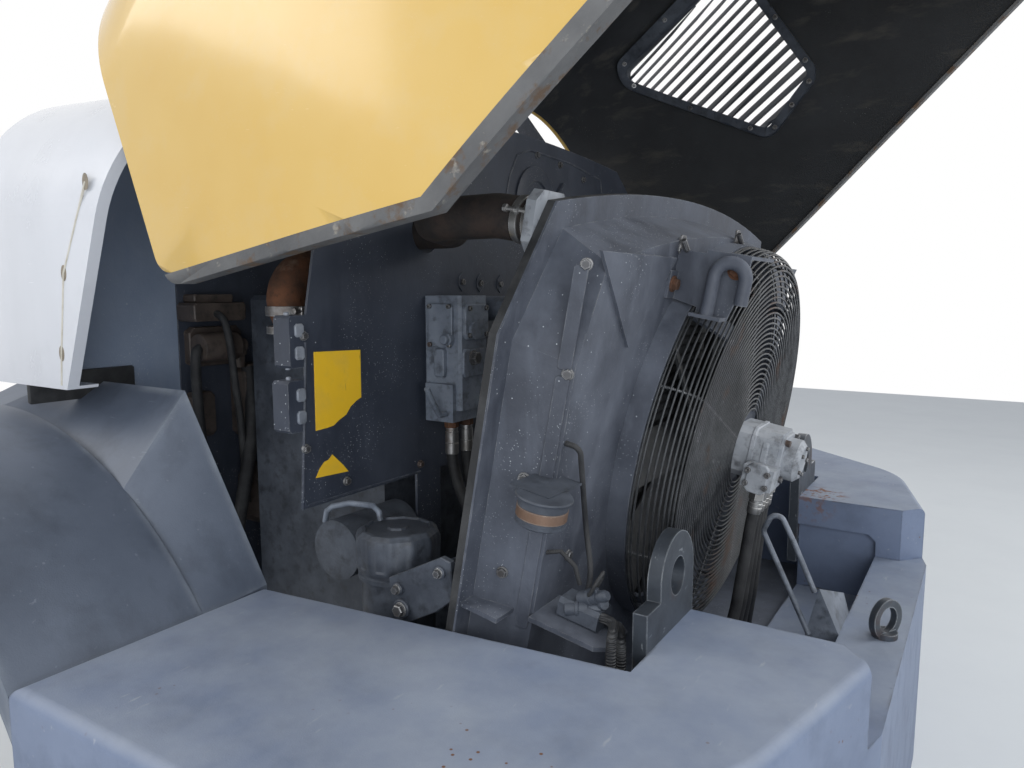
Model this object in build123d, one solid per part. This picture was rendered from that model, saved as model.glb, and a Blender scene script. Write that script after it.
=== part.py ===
"""Rear engine section of a wheel loader: chassis stub, counterweight, cooling unit, raised bonnet.

The origin is the centre of the chassis flange. +X points forward, +Y to the left and +Z up. Sizes in mm.
"""
from build123d import *
import math
import os

os.makedirs("parts", exist_ok=True)

# Driving sizes: chassis
RAIL_OFFSET = 390.0
RAIL_HEIGHT = 260.0
RAIL_WIDTH = 90.0
RAIL_WALL = 14.0
FLANGE_WIDTH = 960.0
FLANGE_HEIGHT = 340.0
FLANGE_THICKNESS = 25.0
FLANGE_BOLT_DIAMETER = 26.0
FLANGE_BOLT_PITCH_Y = 840.0
FLANGE_BOLT_PITCH_Z = 240.0
FLANGE_OPENING_WIDTH = 560.0
CROSS_TUBE_DIAMETER = 120.0
CROSS_TUBE_WALL = 10.0
FLANGE_CORNER = 30.0
FLANGE_RIM = 30.0
CUT = 5000.0

CROSS_REAR = 110.0
CROSS_FRONT = 1120.0

# Driving sizes: place and rake of the fan, measured from the flange centre
FAN_X = -1500.0
FAN_Z = 630.0
FAN_RAKE = 10.3

# Driving sizes: counterweight
WING_DROP = 211.0
WEIGHT_FRONT = 680.0
WEIGHT_REAR = -375.0
WEIGHT_HALF_WIDTH = 1200.0
WEIGHT_HEIGHT = 640.0
WING_FRONT_HEIGHT = 300.0
WING_INNER_FRONT = 770.0
WING_INNER_REAR = 690.0
RECESS_HALF_WIDTH = 430.0
RECESS_START = -36.0
LEDGE_START = -228.0
LEDGE_DROP = 131.0
WEIGHT_CORNER_RADIUS = 300.0
WEIGHT_EDGE_RADIUS = 18.0
WEIGHT_SHOULDER = 130.0
WEIGHT_QUARTER = -240.0
WEIGHT_QUARTER_Y = 870.0
RECESS_FLARE = -285.0
RECESS_FLARE_Y = 560.0
WELL_DEPTH = 120.0
WEDGE_START = 60.0
POCKET_DEPTH = 18.0
POCKET_RISE = 56.0
WEIGHT_DRAFT = 10.0
WEIGHT_POINT = 30.0
FLARE_OVERRUN = 20.0

# Driving sizes: cooling unit, seen square to the fan
RIM_AHEAD = 220.0
RIM_HALF_WIDTH = 718.0
RIM_FLANGE = 40.0
RIM_SHOULDER_HEIGHT = 240.0
RIM_CORNER_Y = 606.0
RIM_CORNER_HEIGHT = 447.0
RIM_CROWN = 54.0
SHEET = 4.0
SEAT_GAP = 0.3
BOX_DEPTH = 102.0
PANEL_CORNER_Y = 600.0
PANEL_CORNER_HEIGHT = 366.0
PANEL_CROWN = 70.0
SEAL_WIDTH = 26.0
SEAL_HEIGHT = 14.0
CORE_DEPTH = 74.0
CORE_MARGIN = 44.0
CORE_SHOULDER_DROP = 84.0
RING_RADIUS = 428.0
RING_AHEAD = 24.0
RING_BEHIND = 40.0
RING_WALL = 5.0
PANEL_TAPER = 28.0
PANEL_HALF_WIDTH = RIM_HALF_WIDTH - RIM_FLANGE - PANEL_TAPER
PANEL_SHOULDER_DROP = 30.0
SHOULDER_SHARE = 0.3
CORNER_SHARE = 0.75
SPIDER_THICKNESS = 8.0
SPIDER_WIDTH = 34.0
SPIDER_PLATE_RADIUS = 82.0
SPIDER_FOOT = 24.0
SPIDER_ELBOW = 22.0
SPIDER_STEP = 14.0
SPIDER_NECK = 4.0
PORT_REACH = 84.0
CHEEK_X = 306.0
CHEEK_SHEET = 6.0
CHEEK_TOP = 402.0
CHEEK_SEAT = 312.0
CHEEK_MIDDLE = 304.0
CHEEK_BOTTOM = 289.0
CHEEK_FRONT = 66.0
CHEEK_REAR = 8.0
CHEEK_TAIL = -14.0
CHEEK_TAIL_DEPTH = 26.0
SHELF_INNER = 155.0
EAR_WIDTH = 40.0
LIP_OUT = 42.0
HOOK_DIAMETER = 24.0
HOOK_X = 334.0
HOOK_FRONT = 38.0
HOOK_REAR = -18.0
HOOK_TOP = 392.0
HOOK_END = 322.0
HOOK_TURN_SHARE = 0.99
SHELF_DROP = -214.0
SHELF_SHEET = 8.0
SHELF_BESIDE_X = 710.0
SHELF_BESIDE_REAR = 150.0
SHELF_BEHIND_INNER = 560.0
SHELF_BEHIND_OUTER = 664.0
SHELF_BEHIND_REAR = -20.0
SHELF_CORNER = 20.0
SHELF_ROOT = 30.0
HORN_X = 722.0
HORN_Y = 3.0
HORN_AHEAD = 97.0
HORN_DIAMETER = 76.0
HORN_HEIGHT = 42.0
HORN_STRAP_ROOT = 20.0
HORN_STRAP_OVER = 12.0
HORN_STRAP_REAR = 14.0
HORN_STRAP_FRONT = 56.0
GUSSET_OUTER = 640.0
GUSSET_INNER = 330.0
GUSSET_TOP = 385.0
GUSSET_TIP_X = 478.0
GUSSET_TIP_Y = 228.0
GUSSET_THICKNESS = 6.0
HOSE_FAN_OUT = 28.0
HOSE_SET_IN = 2.0
HOSE_DROP = 70.0
HOSE_SPREAD = 14.0
HOSE_STEP_BACK = 18.0
HOSE_WAIST = -330.0
HOSE_UPRIGHT = 60.0
MOTOR_HOSE_RADII = [110.0, 90.0, 80.0]
PORT_FOOT = -57.0
CONNECTOR_X = 606.0
CONNECTOR_AHEAD = 50.0
LEAD_DIAMETER = 9.0
CONDUIT_DIAMETER = 16.0
CONNECTOR_HEIGHT = 36.0
CONNECTOR_HALF_WIDTH = 26.0
CONNECTOR_HALF_DEPTH = 36.0
CONNECTOR_CORNER = 7.0
LEAD_INSET = 10.0
LEAD_TOP = 85.0
LEAD_OUT = 26.0
LEAD_WAIST = (-24.0, -60.0, 84.0)
LEAD_UPRIGHT = 50.0
LEAD_RADII = [14.0, 60.0, 60.0]
CONDUIT_PITCH = 28.0
CONDUIT_OUT = 24.0
CONDUIT_RADII = [20.0, 34.0]
CONDUIT_ENDS = [(654.0, -5.0), (681.0, 0.0)]

# Driving sizes: fan, motor and guard
GUARD_FACE_RADIUS = 400.0
GUARD_BASE_STEP = 4.0
GUARD_HOLE_RADIUS = 84.0
GUARD_WIRE = 6.0
GUARD_FACE_RINGS = 8
GUARD_SIDE_RINGS = 2
GUARD_SPOKES = 8
GUARD_SIDES = 48
FAN_TIP_GAP = 19.0
FAN_HUB_RADIUS = 96.0
FAN_HUB_DEPTH = 54.0
FAN_HUB_EDGE = 8.0
BLADE_SINK = 12.0
BLADE_OVERRUN = 30.0
FAN_AHEAD = 110.0
FAN_BLADES = 9
BLADE_CHORD = 96.0
BLADE_PITCH = 30.0
BLADE_THICKNESS = 6.0
SHAFT_DIAMETER = 32.0
SHAFT_CLEARANCE = 0.05
MOTOR_SIDE = 112.0
MOTOR_BACK = 92.0
MOTOR_CAP_DIAMETER = 92.0
MOTOR_CAP_LENGTH = 43.0
MOTOR_GAP = 5.0
MOTOR_CORNER = 14.0
MOTOR_CAP_EDGE = 10.0
PORT_START = 20.0
PORT_HEIGHT = 46.0
PORT_DEPTH = 62.0
PORT_AHEAD = 20.0
SHAFT_SHORT = 4.0

# Driving sizes: partition
PARTITION_AHEAD = 575.0
PARTITION_FOOT_Y = 748.0
PARTITION_FOOT = -50.0
PARTITION_SHOULDER_Y = 726.0
PARTITION_SHOULDER = 300.0
PARTITION_CORNER_Y = 658.0
PARTITION_CORNER = 640.0
PARTITION_CROWN_Y = 560.0
PARTITION_CROWN_EDGE = 706.0
PARTITION_TOP = 727.0
PARTITION_SHEET = 6.0
PARTITION_LEG = 80.0
LATCH_HEIGHT = 92.0
LATCH_WIDTH = 34.0
LATCH_DEPTH = 40.0
LATCH_FEET = (206.0, 92.0)
LATCH_EDGE = 5.0

# Driving sizes: bonnet, as it lies when closed
BONNET_OPEN_ANGLE = 44.5
HINGE_AHEAD = 1138.0
HINGE_ABOVE = 637.0
HINGE_PIN_DIAMETER = 25.0
HINGE_CLEARANCE = 0.05
BONNET_SKIN = 4.0
BONNET_FRONT_HALF_WIDTH = 905.0
BONNET_REAR_HALF_WIDTH = 745.0
BONNET_ROOF_FRONT = 750.0
BONNET_ROOF_REAR = 585.0
BONNET_SHOULDER_RADIUS = 270.0
BONNET_TAIL = -345.0
BONNET_TAIL_LEAN = 90.0
BONNET_SILL = -165.0
BONNET_KINK = 575.0
RIM_LINE_LOW_X = 1042.0
RIM_LINE_LOW_Z = 152.0
RIM_LINE_SLOPE = -0.423
SILL_STRIP_LEFT = 26.0
SILL_STRIP_RIGHT = 8.0
SILL_STRIP_WIDTH = 30.0
COWL_GAP = 10.0
COWL_FRONT = 1350.0
COWL_ROOF_FRONT = 792.0
ROOF_CROWN = 26.0
BODY_FOOT = -260.0
SKY = 1100.0
BONNET_CORNER_RADIUS = 42.0
LINER_MARGIN = 16.0
ARM_SET_BACK = 90.0
BULKHEAD_HALF = 700.0
TAIL_SLOTS = 9
TAIL_SLOT_START = 150.0
TAIL_SLOT_PITCH = 46.0
TAIL_SLOT_HEIGHT = 20.0
TAIL_SLOT_HALF = 430.0
COWL_SKIN = 6.0
COWL_LIP = 22.0
COWL_SHELF = 60.0
ROOF_SEAM_FRONT = 620.0
SEAM_GAP = 3.0
LINER = 10.0
LINER_GAP = 0.3
ARM_OFFSET = 300.0
ARM_THICKNESS = 14.0
ARM_WIDTH = 46.0
ARM_REACH = 470.0
ARM_DROP_ANGLE = 35.0
ARM_FOOT_REAR = 60.0
ARM_FOOT_FRONT = 40.0
ARM_FOOT_SIDE = 30.0
ARM_FOOT_HEIGHT = 10.0
BULKHEAD_AHEAD = 1200.0
BULKHEAD_SHEET = 6.0
HINGE_LUG_THICKNESS = 12.0
HINGE_SIDE_PLAY = 6.0
HINGE_LUG_RADIUS = 34.0
HINGE_BASE_THICKNESS = 8.0
HINGE_BASE_HALF = 60.0

# Driving sizes: louvred windows in the bonnet sides, seen square to the side
WINDOW_POINTS = [(322.0, 112.0), (520.0, 620.0), (62.0, 530.0), (130.0, 128.0)]
WINDOW_CORNER = 26.0
WINDOW_BORDER = 22.0
SLAT_PITCH = 34.0
SLAT_THICKNESS = 3.0
SLAT_WIDTH = 26.0
SLAT_TILT = 42.0
SLAT_LENGTH = 600.0

# Driving sizes: fenders over the rear wheels
WHEEL_AHEAD = 1340.0
WHEEL_BELOW = 745.0
ARCH_RADIUS = 842.0
ARCH_SHEET = 8.0
ARCH_INNER_Y = 888.0
ARCH_LIP = 44.0
FENDER_INNER_Y = 750.0
FENDER_FRONT = 1480.0
FENDER_GAP = 0.3
FENDER_KNEE_AHEAD = 902.0

# Driving sizes: lifting eyes and the ring on the ledge
EYE_THICKNESS = 24.0
EYE_WIDTH = 150.0
EYE_FOOT_WIDTH = 205.0
EYE_HOLE = 64.0
EYE_HOLE_RISE = 84.0
EYE_DEPTH_BELOW = 180.0
EYE_STEP_RISE = 62.0
EYE_OVERHANG = 6.0
RING_EYE_RADIUS = 41.0
RING_EYE_HOLE = 25.0
RING_EYE_THICKNESS = 14.0
RING_EYE_AHEAD = -306.0
RING_EYE_Y = 58.0
RING_EYE_TURN = 60.0
BOSS_RADIUS = 24.0
BOSS_HEIGHT = 12.0

# Driving sizes: coupling bracket in the well, seen from the side at its near and far end
BRACKET_NEAR_Y = 100.0
BRACKET_FAR_Y = -24.0
BRACKET_NEAR_TOP = (-188.0, -255.0)
BRACKET_FAR_TOP = (-216.0, -300.0)
BRACKET_NEAR_FOOT = -140.0
BRACKET_FAR_FOOT = -160.0
LOOP_DIAMETER = 11.0
LOOP_POINTS = [(-172.0, -352.0), (-74.0, -152.0), (-100.0, -96.0), (-136.0, -166.0), (-180.0, -262.0)]
LOOP_RADII = [16.0, 16.0, 40.0]

# Driving sizes: engine bay fittings
ENGINE_REAR = 660.0
ENGINE_LENGTH = 420.0
ENGINE_HALF_WIDTH = 440.0
ENGINE_TOP = 330.0
ENGINE_CHAMFER = 12.0
FOOT_PLATE = 8.0
FILTER_AHEAD = 470.0
FILTER_Y = 615.0
FILTER_DIAMETER = 150.0
FILTER_HEIGHT = 236.0
FILTER_EDGE = 12.0
COLLAR_SHARE = 0.72
COLLAR_STEP = 6.0
COLLAR_WIDTH = 34.0
VALVE_Y = 350.0
VALVE_WIDTH = 100.0
VALVE_DEPTH = 96.0
VALVE_HEIGHT = 240.0
VALVE_BOTTOM = 90.0
VALVE_COLLAR = 56.0
VALVE_CORNER = 6.0
VALVE_FOOT_MARGIN = 12.0
VALVE_FOOT_DROP = 24.0
VALVE_PLUG_RADIUS = 19.0
VALVE_PLUG_LENGTH = 16.0
VALVE_PLUG_SHARE = 0.7
VALVE_PLUG_SIDE = 12.0
LEVER_BEHIND = 30.0
LEVER_SET_IN = 5.0
LEVER_OUT = 24.0
LEVER_REACH = 70.0
LEVER_RISE = 62.0
LEVER_LEAN = 6.0
LEVER_RADIUS = 14.0
LEVER_DIAMETER = 12.0
HOSE_DIAMETER = 24.0
VALVE_HOSE_BACK = 8.0
VALVE_HOSE_STEP = 4.0
VALVE_HOSE_HALF_PITCH = 24.0
VALVE_HOSE_REACH = (90.0, 150.0)
VALVE_HOSE_DROPS = (110.0, 250.0, 60.0)
VALVE_HOSE_ASIDE = (22.0, 40.0)
VALVE_HOSE_BEND_SHARE = 0.6
VALVE_HOSE_RADII = [150.0, 130.0, 100.0]
TUBE_DIAMETER = 74.0
TUBE_Y = 590.0
TUBE_RISE = 411.0
ELBOW_DIAMETER = 80.0
STUB_DIAMETER = 56.0
STUB_LENGTH = 95.0
STUB_Y = 215.0
STUB_HEIGHT = 300.0
STUB_WALL = 4.0
ELBOW_AHEAD = 763.0
ELBOW_INNER_Y = 385.0
ELBOW_Y = 604.0
ELBOW_ABOVE = 54.0
ELBOW_BELOW = 70.0
ELBOW_RADII = [52.0, 66.0, 66.0]
TUBE_FLANGE = 18.0
TUBE_BEND = 400.0
TUBE_INNER_Y = 388.0
TUBE_LEAD = 80.0
TUBE_ROOM = 8.0
TUBE_DOWN = 210.0
TUBE_RADII = [100.0, 60.0, 40.0, 60.0]
TUBE_FLANGE_MARGIN = 26.0
TUBE_FLANGE_CORNER = 18.0
DRUM_AHEAD = 622.0
DRUM_DIAMETER = 120.0
DRUM_LENGTH = 186.0
DRUM_HEIGHT = -170.0
FOOT_REAR = -30.0
FOOT_FRONT = 330.0
FOOT_HALF_WIDTH = 686.0
SHELF_HEIGHT = -338.0
SHELF_REAR = 350.0
SHELF_OUTER = 700.0
SHELF_INSET = 40.0
UPRIGHT_Y = 512.0
UPRIGHT_FRONT = 540.0
UPRIGHT_LOW = -236.0
UPRIGHT_HIGH = -150.0

SIDE_TAPER = (BONNET_FRONT_HALF_WIDTH - BONNET_REAR_HALF_WIDTH) / (BONNET_KINK - BONNET_TAIL)

# Derived places, in the bay frame: its origin is the centre of the fan guard's face
RAIL_START = RECESS_START
RAIL_TOP = RAIL_HEIGHT / 2 - FAN_Z
WING_TOP = -WING_DROP
ARCH_OUTER_Y = WEIGHT_HALF_WIDTH
FLANGE_AHEAD = -FAN_X
BAY = Location((FAN_X, 0, FAN_Z))
LEAN = math.radians(FAN_RAKE)
RAKED = Plane(origin=(FAN_X, 0, FAN_Z), x_dir=(0, 1, 0), z_dir=(math.cos(LEAN), 0, math.sin(LEAN)))
PANEL_AHEAD = RIM_AHEAD - BOX_DEPTH
GUARD_BASE_RADIUS = RING_RADIUS - GUARD_BASE_STEP
FAN_RADIUS = RING_RADIUS - RING_WALL - FAN_TIP_GAP
MOTOR_SEAT = GUARD_WIRE / 2 + MOTOR_GAP
FRAME_FOOT = (RAIL_TOP + FOOT_PLATE + SEAT_GAP - PANEL_AHEAD * math.sin(LEAN)) / math.cos(LEAN)


def block(x0, x1, y0, y1, z0, z1):
    """Box between two corners."""
    return Pos((x0 + x1) / 2, (y0 + y1) / 2, (z0 + z1) / 2) * Box(x1 - x0, y1 - y0, z1 - z0)


def side_prism(points, y0, y1):
    """Solid whose outline in the XZ plane is points, from y0 to y1."""
    face = make_face(Polyline(*[(x, y0, z) for x, z in points], close=True))
    return extrude(face, amount=y1 - y0, dir=(0, 1, 0))


def raked(x, y, ahead):
    """A point given square to the fan, in the bay frame."""
    return (ahead * math.cos(LEAN) - y * math.sin(LEAN), x, ahead * math.sin(LEAN) + y * math.cos(LEAN))


def rod(points, diameter, radii):
    """Round bar or tube path with tangent arcs at its corners."""
    path = FilletPolyline(*points, radius=radii)
    start = Plane(origin=path @ 0, z_dir=path % 0)
    return sweep(start * Circle(diameter / 2), path=path)


def mirrored(shape):
    """The same piece on the machine's right side."""
    return mirror(shape, about=Plane.XZ)


# Chassis stub


def rail():
    outer = block(RAIL_START, FLANGE_AHEAD - FLANGE_THICKNESS, RAIL_OFFSET - RAIL_WIDTH / 2,
                  RAIL_OFFSET + RAIL_WIDTH / 2, RAIL_TOP - RAIL_HEIGHT, RAIL_TOP)
    inner = block(RAIL_START - 1, FLANGE_AHEAD, RAIL_OFFSET - RAIL_WIDTH / 2 - 1,
                  RAIL_OFFSET + RAIL_WIDTH / 2 - RAIL_WALL, RAIL_TOP - RAIL_HEIGHT + RAIL_WALL,
                  RAIL_TOP - RAIL_WALL)
    return outer - inner


def chassis_flange():
    centre = RAIL_TOP - RAIL_HEIGHT / 2
    plate = block(FLANGE_AHEAD - FLANGE_THICKNESS, FLANGE_AHEAD, -FLANGE_WIDTH / 2, FLANGE_WIDTH / 2,
                  centre - FLANGE_HEIGHT / 2, centre + FLANGE_HEIGHT / 2)
    plate = fillet(plate.edges().filter_by(Axis.X), FLANGE_CORNER)
    opening = RAIL_HEIGHT / 2 - FLANGE_RIM
    plate -= block(0, CUT, -FLANGE_OPENING_WIDTH / 2, FLANGE_OPENING_WIDTH / 2, centre - opening,
                   centre + opening)
    for y in (-FLANGE_BOLT_PITCH_Y / 2, FLANGE_BOLT_PITCH_Y / 2):
        for z in (-FLANGE_BOLT_PITCH_Z / 2, FLANGE_BOLT_PITCH_Z / 2):
            hole = Pos(FLANGE_AHEAD, y, centre + z) * Rot(0, 90, 0) * Cylinder(
                FLANGE_BOLT_DIAMETER / 2, 3 * FLANGE_THICKNESS)
            plate -= hole
    return plate


def cross_member(ahead):
    span = 2 * (RAIL_OFFSET + RAIL_WIDTH / 2 - RAIL_WALL)
    tube = Rot(90, 0, 0) * Cylinder(CROSS_TUBE_DIAMETER / 2, span)
    tube = Pos(ahead, 0, RAIL_TOP - RAIL_HEIGHT / 2) * tube
    bore = Pos(ahead, 0, RAIL_TOP - RAIL_HEIGHT / 2) * Rot(90, 0, 0) * Cylinder(
        CROSS_TUBE_DIAMETER / 2 - CROSS_TUBE_WALL, span + 2)
    return tube - bore


def chassis_frame():
    frame = chassis_flange() + rail() + mirrored(rail())
    for ahead in (CROSS_REAR, CROSS_FRONT):
        frame += cross_member(ahead)
    return frame


# Counterweight with its lifting eyes


def counterweight():
    half = [(WEIGHT_FRONT, WEIGHT_HALF_WIDTH), (WEIGHT_SHOULDER, WEIGHT_HALF_WIDTH - WEIGHT_DRAFT),
            (WEIGHT_QUARTER, WEIGHT_QUARTER_Y), (WEIGHT_REAR + WEIGHT_POINT, RECESS_HALF_WIDTH)]
    outline = half + [(x, -y) for x, y in reversed(half)]
    top = Polyline(*[(x, y, WING_TOP) for x, y in outline], close=True)
    face = make_face(top)
    corners = [v for v in face.vertices() if WEIGHT_QUARTER - 1 < v.X < WEIGHT_SHOULDER + 1]
    face = fillet(corners, WEIGHT_CORNER_RADIUS)
    body = extrude(face, amount=WEIGHT_HEIGHT, dir=(0, 0, -1))
    body = fillet(body.edges().group_by(Axis.Z)[-1], WEIGHT_EDGE_RADIUS)
    floor = WING_TOP - WEIGHT_HEIGHT - 1
    gap = [(WEIGHT_FRONT + 1, WING_INNER_FRONT), (RECESS_START, WING_INNER_REAR),
           (RECESS_START, -WING_INNER_REAR), (WEIGHT_FRONT + 1, -WING_INNER_FRONT)]
    middle = make_face(Polyline(*[(x, y, floor) for x, y in gap], close=True))
    body -= extrude(middle, amount=WEIGHT_HEIGHT + 2, dir=(0, 0, 1))
    ledge = WING_TOP - LEDGE_DROP
    flare = [(RECESS_START + 1, RECESS_HALF_WIDTH), (RECESS_FLARE, RECESS_HALF_WIDTH),
             (WEIGHT_REAR - FLARE_OVERRUN, RECESS_FLARE_Y)]
    flare = flare + [(x, -y) for x, y in reversed(flare)]
    recess = make_face(Polyline(*[(x, y, ledge) for x, y in flare], close=True))
    body -= extrude(recess, amount=LEDGE_DROP + 1, dir=(0, 0, 1))
    body -= block(LEDGE_START, RECESS_START + 1, -RECESS_HALF_WIDTH, RECESS_HALF_WIDTH, ledge - WELL_DEPTH,
                  ledge + 1)
    pocket = block(LEDGE_START, RECESS_START + 1, -RECESS_HALF_WIDTH - POCKET_DEPTH,
                   RECESS_HALF_WIDTH + POCKET_DEPTH, ledge - WELL_DEPTH, ledge + POCKET_RISE)
    body -= chamfer(pocket.edges().filter_by(Axis.Y).sort_by(Axis.X)[:2].sort_by(Axis.Z)[-1], POCKET_DEPTH)
    under = [(WEDGE_START, floor), (WEIGHT_FRONT + 1, floor),
             (WEIGHT_FRONT + 1, WING_TOP - WING_FRONT_HEIGHT)]
    return body - side_prism(under, -WEIGHT_HALF_WIDTH - 1, WEIGHT_HALF_WIDTH + 1)


def lifting_eye():
    inner = RECESS_HALF_WIDTH - EYE_OVERHANG
    lobe = EYE_WIDTH / 2
    centre = inner + lobe
    hole_z = WING_TOP + EYE_HOLE_RISE
    x0 = RECESS_START
    x1 = RECESS_START + EYE_THICKNESS
    plate = block(x0, x1, inner, inner + EYE_WIDTH, WING_TOP - EYE_DEPTH_BELOW, hole_z)
    plate += block(x0, x1, inner, inner + EYE_FOOT_WIDTH, WING_TOP - EYE_DEPTH_BELOW,
                   WING_TOP + EYE_STEP_RISE)
    plate += Pos((x0 + x1) / 2, centre, hole_z) * Rot(0, 90, 0) * Cylinder(lobe, EYE_THICKNESS)
    plate -= Pos((x0 + x1) / 2, centre, hole_z) * Rot(0, 90, 0) * Cylinder(EYE_HOLE / 2, EYE_THICKNESS + 2)
    return plate


def ledge_ring():
    """Flat eye that stands on a round boss on the ledge."""
    turn = RING_EYE_THICKNESS
    eye = Cylinder(RING_EYE_RADIUS, turn) - Cylinder(RING_EYE_HOLE, turn + 2)
    eye = Rot(0, 0, RING_EYE_TURN) * Rot(90, 0, 0) * eye
    eye = Pos(0, 0, RING_EYE_RADIUS - BOSS_HEIGHT / 3) * eye
    piece = eye + Pos(0, 0, BOSS_HEIGHT / 2) * Cylinder(BOSS_RADIUS, BOSS_HEIGHT)
    reach = 2 * RING_EYE_RADIUS
    piece &= block(-reach, reach, -reach, reach, 0, 2 * reach)
    return Pos(RING_EYE_AHEAD, RING_EYE_Y, WING_TOP - LEDGE_DROP) * piece


def coupling_bracket():
    """Wedge of plate between the well's floor and the ledge, with a bent bar welded to its near side."""
    ledge = WING_TOP - LEDGE_DROP
    floor = ledge - WELL_DEPTH
    ends = []
    for y, top, foot in ((BRACKET_NEAR_Y, BRACKET_NEAR_TOP, BRACKET_NEAR_FOOT),
                         (BRACKET_FAR_Y, BRACKET_FAR_TOP, BRACKET_FAR_FOOT)):
        outline = [top, (LEDGE_START, ledge), (LEDGE_START, floor), (foot, floor)]
        ends.append(make_face(Polyline(*[(x, y, z) for x, z in outline], close=True)))
    wedge = loft(ends, ruled=True)
    y = BRACKET_NEAR_Y + LOOP_DIAMETER / 2 - 1
    return wedge + rod([(x, y, z) for x, z in LOOP_POINTS], LOOP_DIAMETER, LOOP_RADII)


# Cooling unit: local x to the left, y up along the rake, z forward


def arched_outline(half_width, foot, shoulder, corner_y, corner, crown, ahead):
    """Upright outline with sloped shoulders and an arched top, in a plane square to the fan."""
    sides = Polyline((corner_y, corner), (half_width, shoulder), (half_width, foot), (-half_width, foot),
                     (-half_width, shoulder), (-corner_y, corner))
    top = ThreePointArc((-corner_y, corner), (0, corner + crown), (corner_y, corner))
    return Pos(0, 0, ahead) * make_face([sides.edges(), top.edges()])


def rim_outline(inset, ahead, lift=0):
    return arched_outline(RIM_HALF_WIDTH - inset, FRAME_FOOT + lift,
                          RIM_SHOULDER_HEIGHT - inset * SHOULDER_SHARE,
                          RIM_CORNER_Y - inset * CORNER_SHARE, RIM_CORNER_HEIGHT - inset, RIM_CROWN, ahead)


def panel_outline(inset, ahead, lift=0):
    return arched_outline(PANEL_HALF_WIDTH - inset, FRAME_FOOT + lift,
                          RIM_SHOULDER_HEIGHT - PANEL_SHOULDER_DROP - inset * SHOULDER_SHARE,
                          PANEL_CORNER_Y - inset * CORNER_SHARE, PANEL_CORNER_HEIGHT - inset, PANEL_CROWN,
                          ahead)


def cooler_box():
    """Outer form of the tapered box between the rim and the rear panel."""
    return loft([rim_outline(RIM_FLANGE, RIM_AHEAD), panel_outline(0, PANEL_AHEAD)], ruled=True)


def side_shelves():
    """Two small plates at the foot of the box's left side."""
    y1 = SHELF_DROP + SHELF_SHEET
    beside = block(PANEL_HALF_WIDTH - SHELF_ROOT, SHELF_BESIDE_X, SHELF_DROP, y1, SHELF_BESIDE_REAR,
                   RIM_AHEAD)
    behind = block(SHELF_BEHIND_INNER, SHELF_BEHIND_OUTER, SHELF_DROP, y1, SHELF_BEHIND_REAR, PANEL_AHEAD)
    behind = chamfer(behind.edges().filter_by(Axis.Y).group_by(Axis.Z)[0], SHELF_CORNER)
    return (beside + behind) - cooler_box()


def cooler_frame():
    rim_inner = rim_outline(RIM_FLANGE + SHEET, RIM_AHEAD, SHEET)
    inner = loft([rim_inner, panel_outline(SHEET, PANEL_AHEAD + SHEET, SHEET)], ruled=True)
    rim = extrude(rim_outline(0, RIM_AHEAD) - rim_outline(RIM_FLANGE + SHEET, RIM_AHEAD), amount=SHEET)
    box = cooler_box() - inner
    box -= Pos(0, 0, PANEL_AHEAD) * Cylinder(RING_RADIUS, 6 * SHEET)
    gusset = shroud_gusset()
    return box + rim + side_shelves() + gusset + mirror(gusset, about=Plane.YZ)


def cooler_seal():
    strip = rim_outline(0, 0) - rim_outline(SEAL_WIDTH, 0)
    strip = Pos(0, 0, RIM_AHEAD + SHEET) * extrude(strip, amount=SEAL_HEIGHT)
    return strip


def cooler_core():
    margin = RIM_FLANGE + CORE_MARGIN
    foot = FRAME_FOOT + SHEET + SEAT_GAP
    face = arched_outline(RIM_HALF_WIDTH - margin, foot, RIM_SHOULDER_HEIGHT - CORE_SHOULDER_DROP,
                          PANEL_CORNER_Y - margin, PANEL_CORNER_HEIGHT - CORE_MARGIN,
                          PANEL_CROWN - CORE_MARGIN,
                          RIM_AHEAD - CORE_DEPTH)
    return extrude(face, amount=CORE_DEPTH, dir=(0, 0, 1))


def shroud_ring():
    depth = RING_AHEAD + RING_BEHIND
    ring = Cylinder(RING_RADIUS, depth) - Cylinder(RING_RADIUS - RING_WALL, depth + 2)
    return Pos(0, 0, PANEL_AHEAD + (RING_AHEAD - RING_BEHIND) / 2) * ring


def guard_ring(radius, ahead):
    half = GUARD_WIRE / 2
    outline = RegularPolygon(radius + half, GUARD_SIDES) - RegularPolygon(radius - half, GUARD_SIDES)
    return Pos(0, 0, ahead - half) * extrude(outline, amount=GUARD_WIRE)


def fan_guard():
    base = PANEL_AHEAD - RING_BEHIND - GUARD_WIRE / 2
    rings = [guard_ring(GUARD_BASE_RADIUS, base)]
    for i in range(GUARD_SIDE_RINGS):
        share = (i + 1) / (GUARD_SIDE_RINGS + 1)
        radius = GUARD_BASE_RADIUS + share * (GUARD_FACE_RADIUS - GUARD_BASE_RADIUS)
        rings.append(guard_ring(radius, base * (1 - share)))
    for i in range(GUARD_FACE_RINGS):
        share = i / (GUARD_FACE_RINGS - 1)
        rings.append(guard_ring(GUARD_FACE_RADIUS + share * (GUARD_HOLE_RADIUS - GUARD_FACE_RADIUS), 0))
    half = GUARD_WIRE / 2
    sink = half - 1
    outer_face = GUARD_FACE_RADIUS - sink
    outer_base = GUARD_BASE_RADIUS - sink
    spoke_outline = [(GUARD_HOLE_RADIUS, sink - half), (outer_face, sink - half), (outer_base, base + sink),
                     (outer_base - GUARD_WIRE, base + sink), (outer_face - GUARD_WIRE, sink + half),
                     (GUARD_HOLE_RADIUS, sink + half)]
    face = make_face(Polyline(*[(x, -half, z) for x, z in spoke_outline], close=True))
    spoke = extrude(face, amount=GUARD_WIRE, dir=(0, 1, 0))
    spokes = [Rot(0, 0, (i + 0.5) * 360 / GUARD_SPOKES) * spoke for i in range(GUARD_SPOKES)]
    return rings[0].fuse(*rings[1:], *spokes)


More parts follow.
